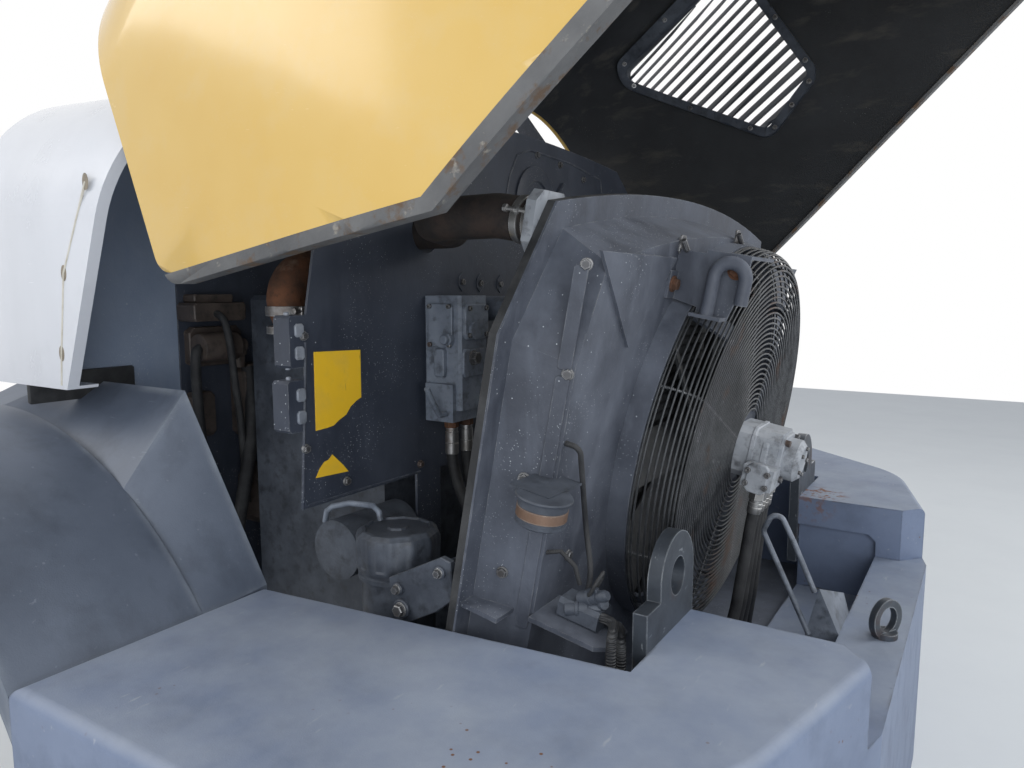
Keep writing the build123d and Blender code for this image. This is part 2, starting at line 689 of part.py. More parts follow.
def fan():
    hub = Cylinder(FAN_HUB_RADIUS, FAN_HUB_DEPTH)
    hub = chamfer(hub.edges().group_by(Axis.Z)[0], FAN_HUB_EDGE)
    reach = FAN_RADIUS - FAN_HUB_RADIUS + BLADE_OVERRUN
    blade = Pos(FAN_HUB_RADIUS - BLADE_SINK + reach / 2, 0, 0) * Rot(BLADE_PITCH, 0, 0) * Box(
        reach, BLADE_CHORD, BLADE_THICKNESS)
    blade &= Cylinder(FAN_RADIUS, 4 * FAN_HUB_DEPTH)
    blades = [Rot(0, 0, i * 360 / FAN_BLADES) * blade for i in range(FAN_BLADES)]
    rotor = hub.fuse(*blades)
    rotor -= Cylinder(SHAFT_DIAMETER / 2 + SHAFT_CLEARANCE, 4 * FAN_HUB_DEPTH)
    return Pos(0, 0, FAN_AHEAD) * rotor


def motor_spider():
    """Plate behind the guard's face with four arms that reach the shroud ring."""
    rear = MOTOR_SEAT
    front = rear + SPIDER_THICKNESS
    inner = RING_RADIUS - RING_WALL
    elbow = GUARD_FACE_RADIUS - SPIDER_ELBOW
    seat = PANEL_AHEAD - RING_BEHIND + SPIDER_NECK
    foot = seat + SPIDER_FOOT
    neck = GUARD_BASE_RADIUS - GUARD_WIRE / 2 - SPIDER_NECK
    outline = [(0, rear), (elbow, rear), (neck, seat - SPIDER_STEP), (neck, seat), (inner, seat),
               (inner, foot),
               (inner - SPIDER_THICKNESS, foot), (inner - SPIDER_THICKNESS, seat + SPIDER_THICKNESS),
               (neck - SPIDER_THICKNESS, seat - SPIDER_STEP + 2), (elbow - SPIDER_NECK, front), (0, front)]
    face = make_face(Polyline(*[(x, -SPIDER_WIDTH / 2, z) for x, z in outline], close=True))
    arm = extrude(face, amount=SPIDER_WIDTH, dir=(0, 1, 0))
    arms = [Rot(0, 0, 45 + i * 90) * arm for i in range(4)]
    plate = Pos(0, 0, (rear + front) / 2) * Cylinder(SPIDER_PLATE_RADIUS, SPIDER_THICKNESS)
    spider = plate.fuse(*arms)
    spider -= Cylinder(SHAFT_DIAMETER / 2 + SPIDER_NECK, CUT)
    return spider & Cylinder(inner, 4 * RIM_AHEAD)


def fan_motor():
    seat = MOTOR_SEAT
    body = Pos(0, 0, seat - MOTOR_BACK / 2) * Box(MOTOR_SIDE, MOTOR_SIDE, MOTOR_BACK)
    body = chamfer(body.edges().filter_by(Axis.Z), MOTOR_CORNER)
    cap = Cylinder(MOTOR_CAP_DIAMETER / 2, MOTOR_CAP_LENGTH)
    cap = Pos(0, 0, seat - MOTOR_BACK - MOTOR_CAP_LENGTH / 2) * cap
    cap = chamfer(cap.edges().group_by(Axis.Z)[0], MOTOR_CAP_EDGE)
    port = Box(PORT_REACH, PORT_HEIGHT, PORT_DEPTH)
    port = Pos(PORT_REACH / 2 + PORT_START, PORT_FOOT + PORT_HEIGHT / 2,
               seat - MOTOR_BACK + PORT_AHEAD) * port
    shaft_end = FAN_AHEAD + FAN_HUB_DEPTH / 2 - SHAFT_SHORT
    shaft = Pos(0, 0, (seat + shaft_end) / 2) * Cylinder(SHAFT_DIAMETER / 2, shaft_end - seat)
    return body + cap + port + shaft


def top_bracket():
    """Bent bracket beside the top of the guard: cheek, ear, shelf and a lip with a hooked bar."""
    side_view = [(PANEL_AHEAD, CHEEK_TOP), (CHEEK_TAIL, CHEEK_TOP),
                 (CHEEK_TAIL, CHEEK_TOP - CHEEK_TAIL_DEPTH),
                 (CHEEK_REAR, CHEEK_BOTTOM), (CHEEK_FRONT, CHEEK_BOTTOM), (CHEEK_FRONT, CHEEK_MIDDLE),
                 (PANEL_AHEAD, CHEEK_SEAT)]
    face = make_face(Polyline(*[(CHEEK_X, y, ahead) for ahead, y in side_view], close=True))
    cheek = extrude(face, amount=CHEEK_SHEET, dir=(1, 0, 0))
    shelf = block(SHELF_INNER, CHEEK_X + CHEEK_SHEET, CHEEK_TOP, CHEEK_TOP + CHEEK_SHEET, CHEEK_TAIL,
                  CHEEK_FRONT)
    ear = block(CHEEK_X, CHEEK_X + EAR_WIDTH, CHEEK_SEAT, CHEEK_TOP - EAR_WIDTH, PANEL_AHEAD - CHEEK_SHEET,
                PANEL_AHEAD)
    lip = block(CHEEK_X, CHEEK_X + LIP_OUT, CHEEK_BOTTOM, CHEEK_BOTTOM + CHEEK_SHEET, CHEEK_REAR,
                CHEEK_FRONT)
    half = (HOOK_FRONT - HOOK_REAR) / 2
    points = [(HOOK_X, CHEEK_BOTTOM + CHEEK_SHEET, HOOK_FRONT), (HOOK_X, HOOK_TOP, HOOK_FRONT),
              (HOOK_X, HOOK_TOP, HOOK_REAR), (HOOK_X, HOOK_END, HOOK_REAR)]
    hook = rod(points, HOOK_DIAMETER, 2 * [half * HOOK_TURN_SHARE])
    return cheek + shelf + ear + lip + hook


def shroud_gusset():
    points = [(GUSSET_OUTER, GUSSET_TOP), (GUSSET_INNER, GUSSET_TOP), (GUSSET_TIP_X, GUSSET_TIP_Y)]
    face = Pos(0, 0, PANEL_AHEAD) * make_face(Polyline(*points, close=True))
    return extrude(face, amount=GUSSET_THICKNESS, dir=(0, 0, -1))


def motor_hose(index):
    """Black hose from the motor's ports down to the foot plate behind the guard."""
    x = PORT_REACH / 2 + PORT_START + HOSE_FAN_OUT * (1 - index)
    back = MOTOR_SEAT - MOTOR_BACK + HOSE_DIAMETER / 2 + HOSE_SET_IN
    spread = HOSE_SPREAD * (1 - index)
    end_x = FOOT_REAR + HOSE_DIAMETER
    foot = RAIL_TOP + FOOT_PLATE
    points = [raked(x, PORT_FOOT, back), raked(x, PORT_FOOT - HOSE_DROP, back),
              (end_x - HOSE_STEP_BACK, x + spread, HOSE_WAIST),
              (end_x, x + 2 * spread, foot + HOSE_UPRIGHT),
              (end_x, x + 2 * spread, foot)]
    return rod(points, HOSE_DIAMETER, MOTOR_HOSE_RADII)


def horn():
    """Small round horn on a strap from the side of the box."""
    can = Rot(90, 0, 0) * Cylinder(HORN_DIAMETER / 2, HORN_HEIGHT)
    can = Pos(HORN_X, HORN_Y, HORN_AHEAD) * chamfer(can.edges(), 4)
    top = HORN_Y + HORN_HEIGHT / 2
    strap = block(PANEL_HALF_WIDTH - HORN_STRAP_ROOT, HORN_X + HORN_STRAP_OVER, top, top + SHEET,
                  HORN_AHEAD - HORN_STRAP_REAR, HORN_AHEAD + HORN_STRAP_FRONT)
    return (can + strap) - cooler_box()


def connector_block():
    """Bundle of plugs on the shelf behind the panel."""
    y0 = SHELF_DROP + SHELF_SHEET
    body = block(CONNECTOR_X - CONNECTOR_HALF_WIDTH, CONNECTOR_X + CONNECTOR_HALF_WIDTH, y0,
                 y0 + CONNECTOR_HEIGHT,
                 CONNECTOR_AHEAD - CONNECTOR_HALF_DEPTH, CONNECTOR_AHEAD + CONNECTOR_HALF_DEPTH)
    return chamfer(body.edges().filter_by(Axis.Z), CONNECTOR_CORNER)


def horn_lead():
    """Thin lead from the panel's upper side down to the plugs."""
    y1 = SHELF_DROP + SHELF_SHEET + CONNECTOR_HEIGHT
    x = PANEL_HALF_WIDTH - LEAD_INSET
    aside, waist_y, waist_ahead = LEAD_WAIST
    points = [(x, LEAD_TOP, PANEL_AHEAD), (x, LEAD_TOP, PANEL_AHEAD - LEAD_OUT),
              (CONNECTOR_X + aside, waist_y, waist_ahead),
              (CONNECTOR_X, y1 + LEAD_UPRIGHT, CONNECTOR_AHEAD),
              (CONNECTOR_X, y1, CONNECTOR_AHEAD)]
    return rod(points, LEAD_DIAMETER, LEAD_RADII)


def plug_conduit(index):
    """Ribbed conduit from the plugs down behind the counterweight's wing to the foot plate."""
    y, x = CONDUIT_ENDS[index]
    side = CONNECTOR_X + CONDUIT_PITCH * (index - 0.5)
    rise = SHELF_DROP + SHELF_SHEET + CONNECTOR_HEIGHT * (1 + 2 * index) / 4
    plug_face = CONNECTOR_AHEAD - CONNECTOR_HALF_DEPTH
    start = raked(side, rise, plug_face)
    foot = RAIL_TOP + FOOT_PLATE
    away = raked(side, rise, plug_face - CONDUIT_OUT)
    points = [start, away, (x, y, away[2]), (x, y, foot)]
    return rod(points, CONDUIT_DIAMETER, CONDUIT_RADII)


# Partition, engine and fittings


def partition():
    """Arched sheet across the engine bay on two legs, with the latches on its left edge."""
    x0 = PARTITION_AHEAD
    x1 = PARTITION_AHEAD + PARTITION_SHEET
    left = [(PARTITION_CROWN_Y, PARTITION_CROWN_EDGE), (PARTITION_CORNER_Y, PARTITION_CORNER),
            (PARTITION_SHOULDER_Y, PARTITION_SHOULDER), (PARTITION_FOOT_Y, PARTITION_FOOT)]
    sides = left + [(-y, z) for y, z in reversed(left)]
    line = Polyline(*[(x0, y, z) for y, z in sides])
    arc = ThreePointArc((x0, -PARTITION_CROWN_Y, PARTITION_CROWN_EDGE), (x0, 0, PARTITION_TOP),
                        (x0, PARTITION_CROWN_Y, PARTITION_CROWN_EDGE))
    sheet = extrude(make_face([line.edges(), arc.edges()]), amount=PARTITION_SHEET, dir=(1, 0, 0))
    for side in (-1, 1):
        y = side * RAIL_OFFSET
        sheet += block(x0, x1, y - PARTITION_LEG / 2, y + PARTITION_LEG / 2, RAIL_TOP, PARTITION_FOOT)
    for foot in LATCH_FEET:
        edge = PARTITION_SHOULDER_Y + (PARTITION_FOOT_Y - PARTITION_SHOULDER_Y) * (
            PARTITION_SHOULDER - foot) / (PARTITION_SHOULDER - PARTITION_FOOT)
        latch = block(x0, x0 + LATCH_DEPTH, edge - LATCH_WIDTH / 3, edge + LATCH_WIDTH, foot,
                      foot + LATCH_HEIGHT)
        sheet += chamfer(latch.edges().filter_by(Axis.X), LATCH_EDGE)
    hole = Rot(0, 90, 0) * Cylinder(TUBE_DIAMETER / 2 + TUBE_ROOM, 3 * PARTITION_SHEET)
    return sheet - Pos(x0, TUBE_INNER_Y, tube_height()) * hole


def engine_block():
    front = ENGINE_REAR + ENGINE_LENGTH
    body = block(ENGINE_REAR, front, -ENGINE_HALF_WIDTH, ENGINE_HALF_WIDTH, RAIL_TOP, ENGINE_TOP)
    return chamfer(body.edges().filter_by(Axis.X), ENGINE_CHAMFER)


def exhaust_elbow():
    """Rusty pipe that rises from the engine's top, bends outward and turns back into its side."""
    side_z = ENGINE_TOP - ELBOW_BELOW
    top_z = ENGINE_TOP + ELBOW_ABOVE
    points = [(ELBOW_AHEAD, ELBOW_INNER_Y, ENGINE_TOP), (ELBOW_AHEAD, ELBOW_INNER_Y, top_z),
              (ELBOW_AHEAD, ELBOW_Y, top_z), (ELBOW_AHEAD, ELBOW_Y, side_z),
              (ELBOW_AHEAD, ENGINE_HALF_WIDTH, side_z)]
    return rod(points, ELBOW_DIAMETER, ELBOW_RADII)


def tube_height():
    """Height of the level run of the charge tube."""
    return raked(TUBE_Y, TUBE_RISE, RIM_AHEAD + SHEET + SEAL_HEIGHT + TUBE_FLANGE + TUBE_LEAD)[2]


def charge_tube():
    face = RIM_AHEAD + SHEET + SEAL_HEIGHT + TUBE_FLANGE
    start = raked(TUBE_Y, TUBE_RISE, face)
    lead = raked(TUBE_Y, TUBE_RISE, face + TUBE_LEAD)
    height = tube_height()
    down = ENGINE_REAR + TUBE_DOWN
    points = [start, lead, (TUBE_BEND, TUBE_Y, height),
              (PARTITION_AHEAD - TUBE_DIAMETER, TUBE_INNER_Y, height),
              (down, TUBE_INNER_Y, height), (down, TUBE_INNER_Y, ENGINE_TOP)]
    return rod(points, TUBE_DIAMETER, TUBE_RADII)


def tube_flange():
    """Flange of the charge tube on the front of the rim, in the fan's frame."""
    centre = RIM_AHEAD + SHEET + SEAL_HEIGHT + TUBE_FLANGE / 2
    side = TUBE_DIAMETER + TUBE_FLANGE_MARGIN
    plate = Pos(TUBE_Y, TUBE_RISE, centre) * Box(side, side, TUBE_FLANGE)
    return chamfer(plate.edges().filter_by(Axis.Z), TUBE_FLANGE_CORNER)


def valve_block():
    """Cast block on the partition with its plug, foot and lever."""
    x1 = PARTITION_AHEAD
    x0 = x1 - VALVE_DEPTH
    y0 = VALVE_Y - VALVE_WIDTH / 2
    y1 = VALVE_Y + VALVE_WIDTH / 2
    body = block(x0, x1, y0, y1, VALVE_BOTTOM, VALVE_BOTTOM + VALVE_HEIGHT)
    body = chamfer(body.edges().filter_by(Axis.Z), VALVE_CORNER)
    plug = Rot(0, 90, 0) * Cylinder(VALVE_PLUG_RADIUS, VALVE_PLUG_LENGTH)
    plug = Pos(x0 - VALVE_PLUG_LENGTH / 2, VALVE_Y + VALVE_PLUG_SIDE,
               VALVE_BOTTOM + VALVE_PLUG_SHARE * VALVE_HEIGHT) * plug
    margin = VALVE_FOOT_MARGIN
    foot = block(x0 + margin, x1 - margin, y0 - margin, y1 + margin, VALVE_BOTTOM - VALVE_FOOT_DROP,
                 VALVE_BOTTOM + VALVE_COLLAR)
    x = x0 + LEVER_BEHIND
    y = y1 + margin
    z = VALVE_BOTTOM - LEVER_DIAMETER / 2
    lever = rod([(x, y - LEVER_SET_IN, z), (x, y + LEVER_OUT, z),
                 (x - LEVER_LEAN, y + LEVER_REACH, z + LEVER_RISE)],
                LEVER_DIAMETER, [LEVER_RADIUS])
    return body + plug + foot + lever


def valve_hose(index):
    x = PARTITION_AHEAD - VALVE_DEPTH / 2 - VALVE_HOSE_BACK + VALVE_HOSE_STEP * index
    y = VALVE_Y + VALVE_HOSE_HALF_PITCH * (2 * index - 1)
    top = VALVE_BOTTOM - VALVE_FOOT_DROP
    end = SHELF_HEIGHT + FOOT_PLATE
    reach = VALVE_HOSE_REACH[index]
    upright, bend, landing = VALVE_HOSE_DROPS
    bend_aside, end_aside = VALVE_HOSE_ASIDE
    points = [(x, y, top), (x, y, top - upright),
              (x - VALVE_HOSE_BEND_SHARE * reach, y + bend_aside, top - bend),
              (x - reach, y + end_aside, end + landing), (x - reach, y + end_aside, end)]
    return rod(points, HOSE_DIAMETER, VALVE_HOSE_RADII)


def pipe_stub():
    centre = Pos(PARTITION_AHEAD - STUB_LENGTH / 2, STUB_Y, STUB_HEIGHT) * Rot(0, 90, 0)
    bore = Cylinder(STUB_DIAMETER / 2 - STUB_WALL, STUB_LENGTH + 2)
    return centre * (Cylinder(STUB_DIAMETER / 2, STUB_LENGTH) - bore)


def filter_plate():
    """Shelf for the filter with an upright plate beside it."""
    top = SHELF_HEIGHT + FOOT_PLATE
    shelf = block(SHELF_REAR, PARTITION_AHEAD, RAIL_OFFSET - SHELF_INSET, SHELF_OUTER, SHELF_HEIGHT, top)
    upright = side_prism([(SHELF_REAR, top), (UPRIGHT_FRONT, top), (UPRIGHT_FRONT, UPRIGHT_LOW),
                          (SHELF_REAR, UPRIGHT_HIGH)], UPRIGHT_Y, UPRIGHT_Y + FOOT_PLATE)
    return shelf + upright


def oil_filter():
    base = SHELF_HEIGHT + FOOT_PLATE
    can = Cylinder(FILTER_DIAMETER / 2, FILTER_HEIGHT)
    can = Pos(FILTER_AHEAD, FILTER_Y, base + FILTER_HEIGHT / 2) * can
    can = chamfer(can.edges().group_by(Axis.Z)[-1], FILTER_EDGE)
    collar = Cylinder(FILTER_DIAMETER / 2 + COLLAR_STEP, COLLAR_WIDTH)
    collar = Pos(FILTER_AHEAD, FILTER_Y, base + COLLAR_SHARE * FILTER_HEIGHT) * collar
    return can + collar


def side_drum():
    y1 = ENGINE_HALF_WIDTH + DRUM_LENGTH
    drum = Pos(DRUM_AHEAD, (ENGINE_HALF_WIDTH + y1) / 2, DRUM_HEIGHT) * Rot(90, 0, 0)
    return drum * Cylinder(DRUM_DIAMETER / 2, DRUM_LENGTH)


def foot_plate():
    return block(FOOT_REAR, FOOT_FRONT, -FOOT_HALF_WIDTH, FOOT_HALF_WIDTH, RAIL_TOP, RAIL_TOP + FOOT_PLATE)


# Bonnet and cowl: both are cut from one body with a vertical side, a round shoulder and a crowned roof


def body_section(ahead, half_width, roof, inset):
    """Upright section of the body at one place along the machine."""
    y = half_width - inset
    z = roof - inset
    radius = BONNET_SHOULDER_RADIUS - inset
    spring = z - ROOF_CROWN
    turn = radius * math.sqrt(0.5)
    low = BODY_FOOT

    def at(py, pz):
        return (ahead, py, pz)

    sides = Polyline(at(y, spring - radius), at(y, low), at(-y, low), at(-y, spring - radius))
    left = ThreePointArc(at(y, spring - radius), at(y - radius + turn, spring - radius + turn),
                         at(y - radius, spring))
    roof_arc = ThreePointArc(at(y - radius, spring), at(0, z), at(-y + radius, spring))
    right = ThreePointArc(at(-y + radius, spring), at(-y + radius - turn, spring - radius + turn),
                          at(-y, spring - radius))
    return make_face([sides.edges(), left.edges(), roof_arc.edges(), right.edges()])


def body_solid(inset):
    """The whole closed body from the tail to the front of the cowl, inset from its outer face."""
    tail = body_section(BONNET_TAIL - 1, BONNET_REAR_HALF_WIDTH, BONNET_ROOF_REAR, inset)
    kink = body_section(BONNET_KINK, BONNET_FRONT_HALF_WIDTH, BONNET_ROOF_FRONT, inset)
    front = body_section(COWL_FRONT, BONNET_FRONT_HALF_WIDTH, COWL_ROOF_FRONT, inset)
    return loft([tail, kink], ruled=True) + loft([kink, front], ruled=True)


def rim_x(z):
    """Place of the cowl's rim at a height."""
    return RIM_LINE_LOW_X + (z - RIM_LINE_LOW_Z) * RIM_LINE_SLOPE


def bonnet_profile(drop, shorten):
    """Solid over the bonnet's side view, its lower edge moved down and its ends drawn in."""
    x_front = rim_x(RIM_LINE_LOW_Z) - COWL_GAP - shorten
    x_tail = BONNET_TAIL + shorten
    lean = BONNET_TAIL_LEAN * (SKY - BONNET_SILL) / (BONNET_ROOF_REAR - BONNET_SILL)
    points = [(x_tail, BONNET_SILL - drop), (BONNET_KINK, BONNET_SILL - drop),
              (x_front, RIM_LINE_LOW_Z - drop),
              (rim_x(SKY) - COWL_GAP - shorten, SKY), (x_tail + lean, SKY)]
    prism = side_prism(points, -WEIGHT_HALF_WIDTH, WEIGHT_HALF_WIDTH)
    corner = prism.edges().filter_by(Axis.Y).sort_by_distance((x_front, 0, RIM_LINE_LOW_Z - drop))[0]
    return fillet(corner, BONNET_CORNER_RADIUS)


def plan_prism(widen):
    """Solid over the roof strip between the two seams, seen from above."""
    front = ROOF_SEAM_FRONT + widen
    rear = ROOF_SEAM_FRONT - (BONNET_FRONT_HALF_WIDTH - BONNET_REAR_HALF_WIDTH) + widen
    half = [(COWL_FRONT, front), (BONNET_KINK, front), (BONNET_TAIL, rear), (-CUT, rear)]
    outline = half + [(x, -y) for x, y in reversed(half)]
    face = make_face(Polyline(*[(x, y, BODY_FOOT - 1) for x, y in outline], close=True))
    return extrude(face, amount=2 * SKY, dir=(0, 0, 1))


def window_prism(grow):
    face = make_face(Polyline(*[(x, 0, z) for x, z in WINDOW_POINTS], close=True))
    face = fillet(face.vertices(), WINDOW_CORNER)
    if grow:
        face = offset(face, amount=grow)
    return extrude(face, amount=WEIGHT_HALF_WIDTH, dir=(0, 1, 0))


def left_half():
    return block(-CUT, CUT, 0, CUT, -CUT, CUT)


def bonnet_side(outer, skin_inner):
    skin = (outer - skin_inner) & bonnet_profile(0, 0) & left_half()
    return skin - plan_prism(SEAM_GAP / 2) - window_prism(0)


def bonnet_roof(outer, skin_inner):
    return (outer - skin_inner) & bonnet_profile(0, 0) & plan_prism(-SEAM_GAP / 2)


def above_sill():
    """Solid over everything above the bonnet's lower edge, which goes on past both ends."""
    slope = (RIM_LINE_LOW_Z - BONNET_SILL) / (rim_x(RIM_LINE_LOW_Z) - COWL_GAP - BONNET_KINK)
    far = COWL_FRONT
    points = [(-CUT, BONNET_SILL), (BONNET_KINK, BONNET_SILL),
              (far, BONNET_SILL + slope * (far - BONNET_KINK)),
              (far, SKY), (-CUT, SKY)]
    return side_prism(points, -WEIGHT_HALF_WIDTH, WEIGHT_HALF_WIDTH)


def sill_strip(outer, strip_inner, height):
    band = bonnet_profile(height, 0) - above_sill()
    return (outer - strip_inner) & band & left_half()


def side_liner(liner_outer, liner_inner):
    lining = (liner_outer - liner_inner) & bonnet_profile(-LINER_GAP, LINER_MARGIN) & left_half()
    return lining - plan_prism(LINER_GAP) - window_prism(WINDOW_BORDER + LINER_GAP)


def roof_liner(liner_outer, liner_inner):
    return (liner_outer - liner_inner) & bonnet_profile(-LINER_GAP, LINER_MARGIN) & plan_prism(0)


def bonnet_tail(skin_inner):
    x0 = BONNET_TAIL
    x1 = BONNET_TAIL + BONNET_TAIL_LEAN
    rise = BONNET_ROOF_REAR - BONNET_SILL
    slab = side_prism([(x0, BONNET_SILL), (x0 + BONNET_SKIN, BONNET_SILL),
                       (x1 + BONNET_SKIN, BONNET_SILL + rise),
                       (x1, BONNET_SILL + rise)], -WEIGHT_HALF_WIDTH, WEIGHT_HALF_WIDTH)
    plate = slab & skin_inner
    for i in range(TAIL_SLOTS):
        z = BONNET_SILL + TAIL_SLOT_START + i * TAIL_SLOT_PITCH
        plate -= block(-CUT, x1 + BONNET_TAIL_LEAN, -TAIL_SLOT_HALF, TAIL_SLOT_HALF, z,
                       z + TAIL_SLOT_HEIGHT)
    return plate


def window_grille(skin_inner, slat_inner):
    border = (window_prism(WINDOW_BORDER) - window_prism(-4)) & (skin_inner - slat_inner)
    slats = []
    low = min(z for x, z in WINDOW_POINTS)
    high = max(z for x, z in WINDOW_POINTS)
    middle_x = sum(x for x, z in WINDOW_POINTS) / len(WINDOW_POINTS)
    y = BONNET_FRONT_HALF_WIDTH - (BONNET_KINK - middle_x) * SIDE_TAPER
    room = window_prism(WINDOW_BORDER / 2) & (skin_inner - slat_inner)
    z = low + SLAT_PITCH / 2
    while z < high - SLAT_PITCH / 4:
        slat = Rot(SLAT_TILT, 0, 0) * Box(SLAT_LENGTH, 6 * SLAT_WIDTH, SLAT_THICKNESS)
        slats.append(Pos(middle_x, y - SLAT_WIDTH / 2, z) * slat & room)
        z += SLAT_PITCH
    return border.fuse(*slats)


def bar(p, q, width, y0, y1):
    """Flat bar with round ends between two points of the side view."""
    angle = math.atan2(q[1] - p[1], q[0] - p[0])
    nx = -math.sin(angle) * width / 2
    nz = math.cos(angle) * width / 2
    shape = side_prism([(p[0] + nx, p[1] + nz), (q[0] + nx, q[1] + nz), (q[0] - nx, q[1] - nz),
                        (p[0] - nx, p[1] - nz)], y0, y1)
    for x, z in (p, q):
        shape += Pos(x, (y0 + y1) / 2, z) * Rot(90, 0, 0) * Cylinder(width / 2, y1 - y0)
    return shape


def hinge_arm(cavity):
    """Goose-neck arm that passes under the cowl's rim and carries the roof."""
    angle = math.radians(180 + ARM_DROP_ANGLE)
    elbow = (HINGE_AHEAD + ARM_REACH * math.cos(angle), HINGE_ABOVE + ARM_REACH * math.sin(angle))
    y0 = ARM_OFFSET - ARM_THICKNESS / 2
    y1 = ARM_OFFSET + ARM_THICKNESS / 2
    lower = bar((HINGE_AHEAD, HINGE_ABOVE), elbow, ARM_WIDTH, y0, y1)
    upper = bar(elbow, (elbow[0] - ARM_SET_BACK, SKY), ARM_WIDTH, y0, y1)
    middle = elbow[0] - ARM_SET_BACK
    foot = block(middle - ARM_FOOT_REAR, middle + ARM_FOOT_FRONT, y0 - ARM_FOOT_SIDE, y1 + ARM_FOOT_SIDE, 0,
                 SKY)
    foot &= cavity - body_solid(BONNET_SKIN + LINER_GAP + LINER + LINER_GAP + ARM_FOOT_HEIGHT)
    arm = (lower + upper) & cavity
    arm += foot
    bore = Rot(90, 0, 0) * Cylinder(HINGE_PIN_DIAMETER / 2 + HINGE_CLEARANCE, 4 * ARM_THICKNESS)
    return arm - Pos(HINGE_AHEAD, ARM_OFFSET, HINGE_ABOVE) * bore


def hinge_bracket():
    """Two lugs on the bulkhead with the pin that the arm turns on."""
    reach = ARM_THICKNESS / 2 + HINGE_SIDE_PLAY
    lugs = []
    for side in (-1, 1):
        y0 = ARM_OFFSET + side * (reach + HINGE_LUG_THICKNESS / 2) - HINGE_LUG_THICKNESS / 2
        lug = block(HINGE_AHEAD, BULKHEAD_AHEAD, y0, y0 + HINGE_LUG_THICKNESS,
                    HINGE_ABOVE - HINGE_LUG_RADIUS,
                    HINGE_ABOVE + HINGE_LUG_RADIUS)
        eye = Rot(90, 0, 0) * Cylinder(HINGE_LUG_RADIUS, HINGE_LUG_THICKNESS)
        lugs.append(lug + Pos(HINGE_AHEAD, y0 + HINGE_LUG_THICKNESS / 2, HINGE_ABOVE) * eye)
    half = HINGE_BASE_HALF
    base = block(BULKHEAD_AHEAD - HINGE_BASE_THICKNESS, BULKHEAD_AHEAD, ARM_OFFSET - half,
                 ARM_OFFSET + half,
                 HINGE_ABOVE - half, HINGE_ABOVE + half)
    pin = Pos(HINGE_AHEAD, ARM_OFFSET, HINGE_ABOVE) * Rot(90, 0, 0) * Cylinder(
        HINGE_PIN_DIAMETER / 2, 2 * (reach + HINGE_LUG_THICKNESS))
    return lugs[0] + lugs[1] + base + pin


def cowl(outer, inner):
    ahead = side_prism([(rim_x(RIM_LINE_LOW_Z), RIM_LINE_LOW_Z), (COWL_FRONT, RIM_LINE_LOW_Z),
                        (COWL_FRONT, SKY),
                        (rim_x(SKY), SKY)], -WEIGHT_HALF_WIDTH, WEIGHT_HALF_WIDTH)
    shell = (outer - inner) & ahead
    lip_band = side_prism([(rim_x(RIM_LINE_LOW_Z), RIM_LINE_LOW_Z),
                           (rim_x(RIM_LINE_LOW_Z) + COWL_SKIN, RIM_LINE_LOW_Z),
                           (rim_x(SKY) + COWL_SKIN, SKY), (rim_x(SKY), SKY)],
                          -WEIGHT_HALF_WIDTH, WEIGHT_HALF_WIDTH)
    lip = (inner - body_solid(COWL_LIP)) & lip_band
    shelf_band = block(0, COWL_FRONT, -CUT, CUT, RIM_LINE_LOW_Z, RIM_LINE_LOW_Z + COWL_SKIN)
    shelf = (inner - body_solid(COWL_SHELF)) & shelf_band & ahead
    return shell + lip + shelf


def bulkhead(inner):
    slab = block(BULKHEAD_AHEAD, BULKHEAD_AHEAD + BULKHEAD_SHEET, -CUT, CUT, RIM_LINE_LOW_Z + COWL_SKIN,
                 SKY)
    upper = inner & slab
    lower = block(BULKHEAD_AHEAD, BULKHEAD_AHEAD + BULKHEAD_SHEET, -BULKHEAD_HALF, BULKHEAD_HALF, RAIL_TOP,
                  RIM_LINE_LOW_Z + COWL_SKIN)
    return upper + lower


# Fenders over the rear wheels


def fender():
    """Arch over the wheel with an outer lip and a ruled panel that rises to the cowl."""
    back = WEIGHT_FRONT + FENDER_GAP
    ring = Cylinder(ARCH_RADIUS, ARCH_OUTER_Y - ARCH_INNER_Y) - Cylinder(
        ARCH_RADIUS - ARCH_SHEET, ARCH_OUTER_Y - ARCH_INNER_Y + 2)
    middle_y = (ARCH_OUTER_Y + ARCH_INNER_Y) / 2
    arch = Pos(WHEEL_AHEAD, middle_y, -WHEEL_BELOW) * Rot(90, 0, 0) * ring
    lip = Cylinder(ARCH_RADIUS - ARCH_SHEET, ARCH_SHEET) - Cylinder(ARCH_RADIUS - ARCH_LIP, ARCH_SHEET + 2)
    arch += Pos(WHEEL_AHEAD, ARCH_OUTER_Y - ARCH_SHEET / 2, -WHEEL_BELOW) * Rot(90, 0, 0) * lip
    arch &= block(back, FENDER_FRONT, 0, CUT, -WHEEL_BELOW, SKY)
    top = RIM_LINE_LOW_Z - FENDER_GAP
    stations = [(back, WING_TOP), (FENDER_KNEE_AHEAD, top - ARCH_SHEET), (WHEEL_AHEAD, top - ARCH_SHEET),
                (FENDER_FRONT, top - ARCH_SHEET)]
    sections = []
    for x, z_inner in stations:
        z_arch = -WHEEL_BELOW + math.sqrt(ARCH_RADIUS ** 2 - (x - WHEEL_AHEAD) ** 2)
        quad = [(x, ARCH_INNER_Y, z_arch), (x, FENDER_INNER_Y, z_inner),
                (x, FENDER_INNER_Y, z_inner - 2 * ARCH_SHEET),
                (x, ARCH_INNER_Y, z_arch - 2 * ARCH_SHEET)]
        sections.append(make_face(Polyline(*quad, close=True)))
    panel = loft(sections[:2], ruled=True) + loft(sections[1:3], ruled=True) + loft(sections[2:],
                                                                                    ruled=True)
    return arch + panel


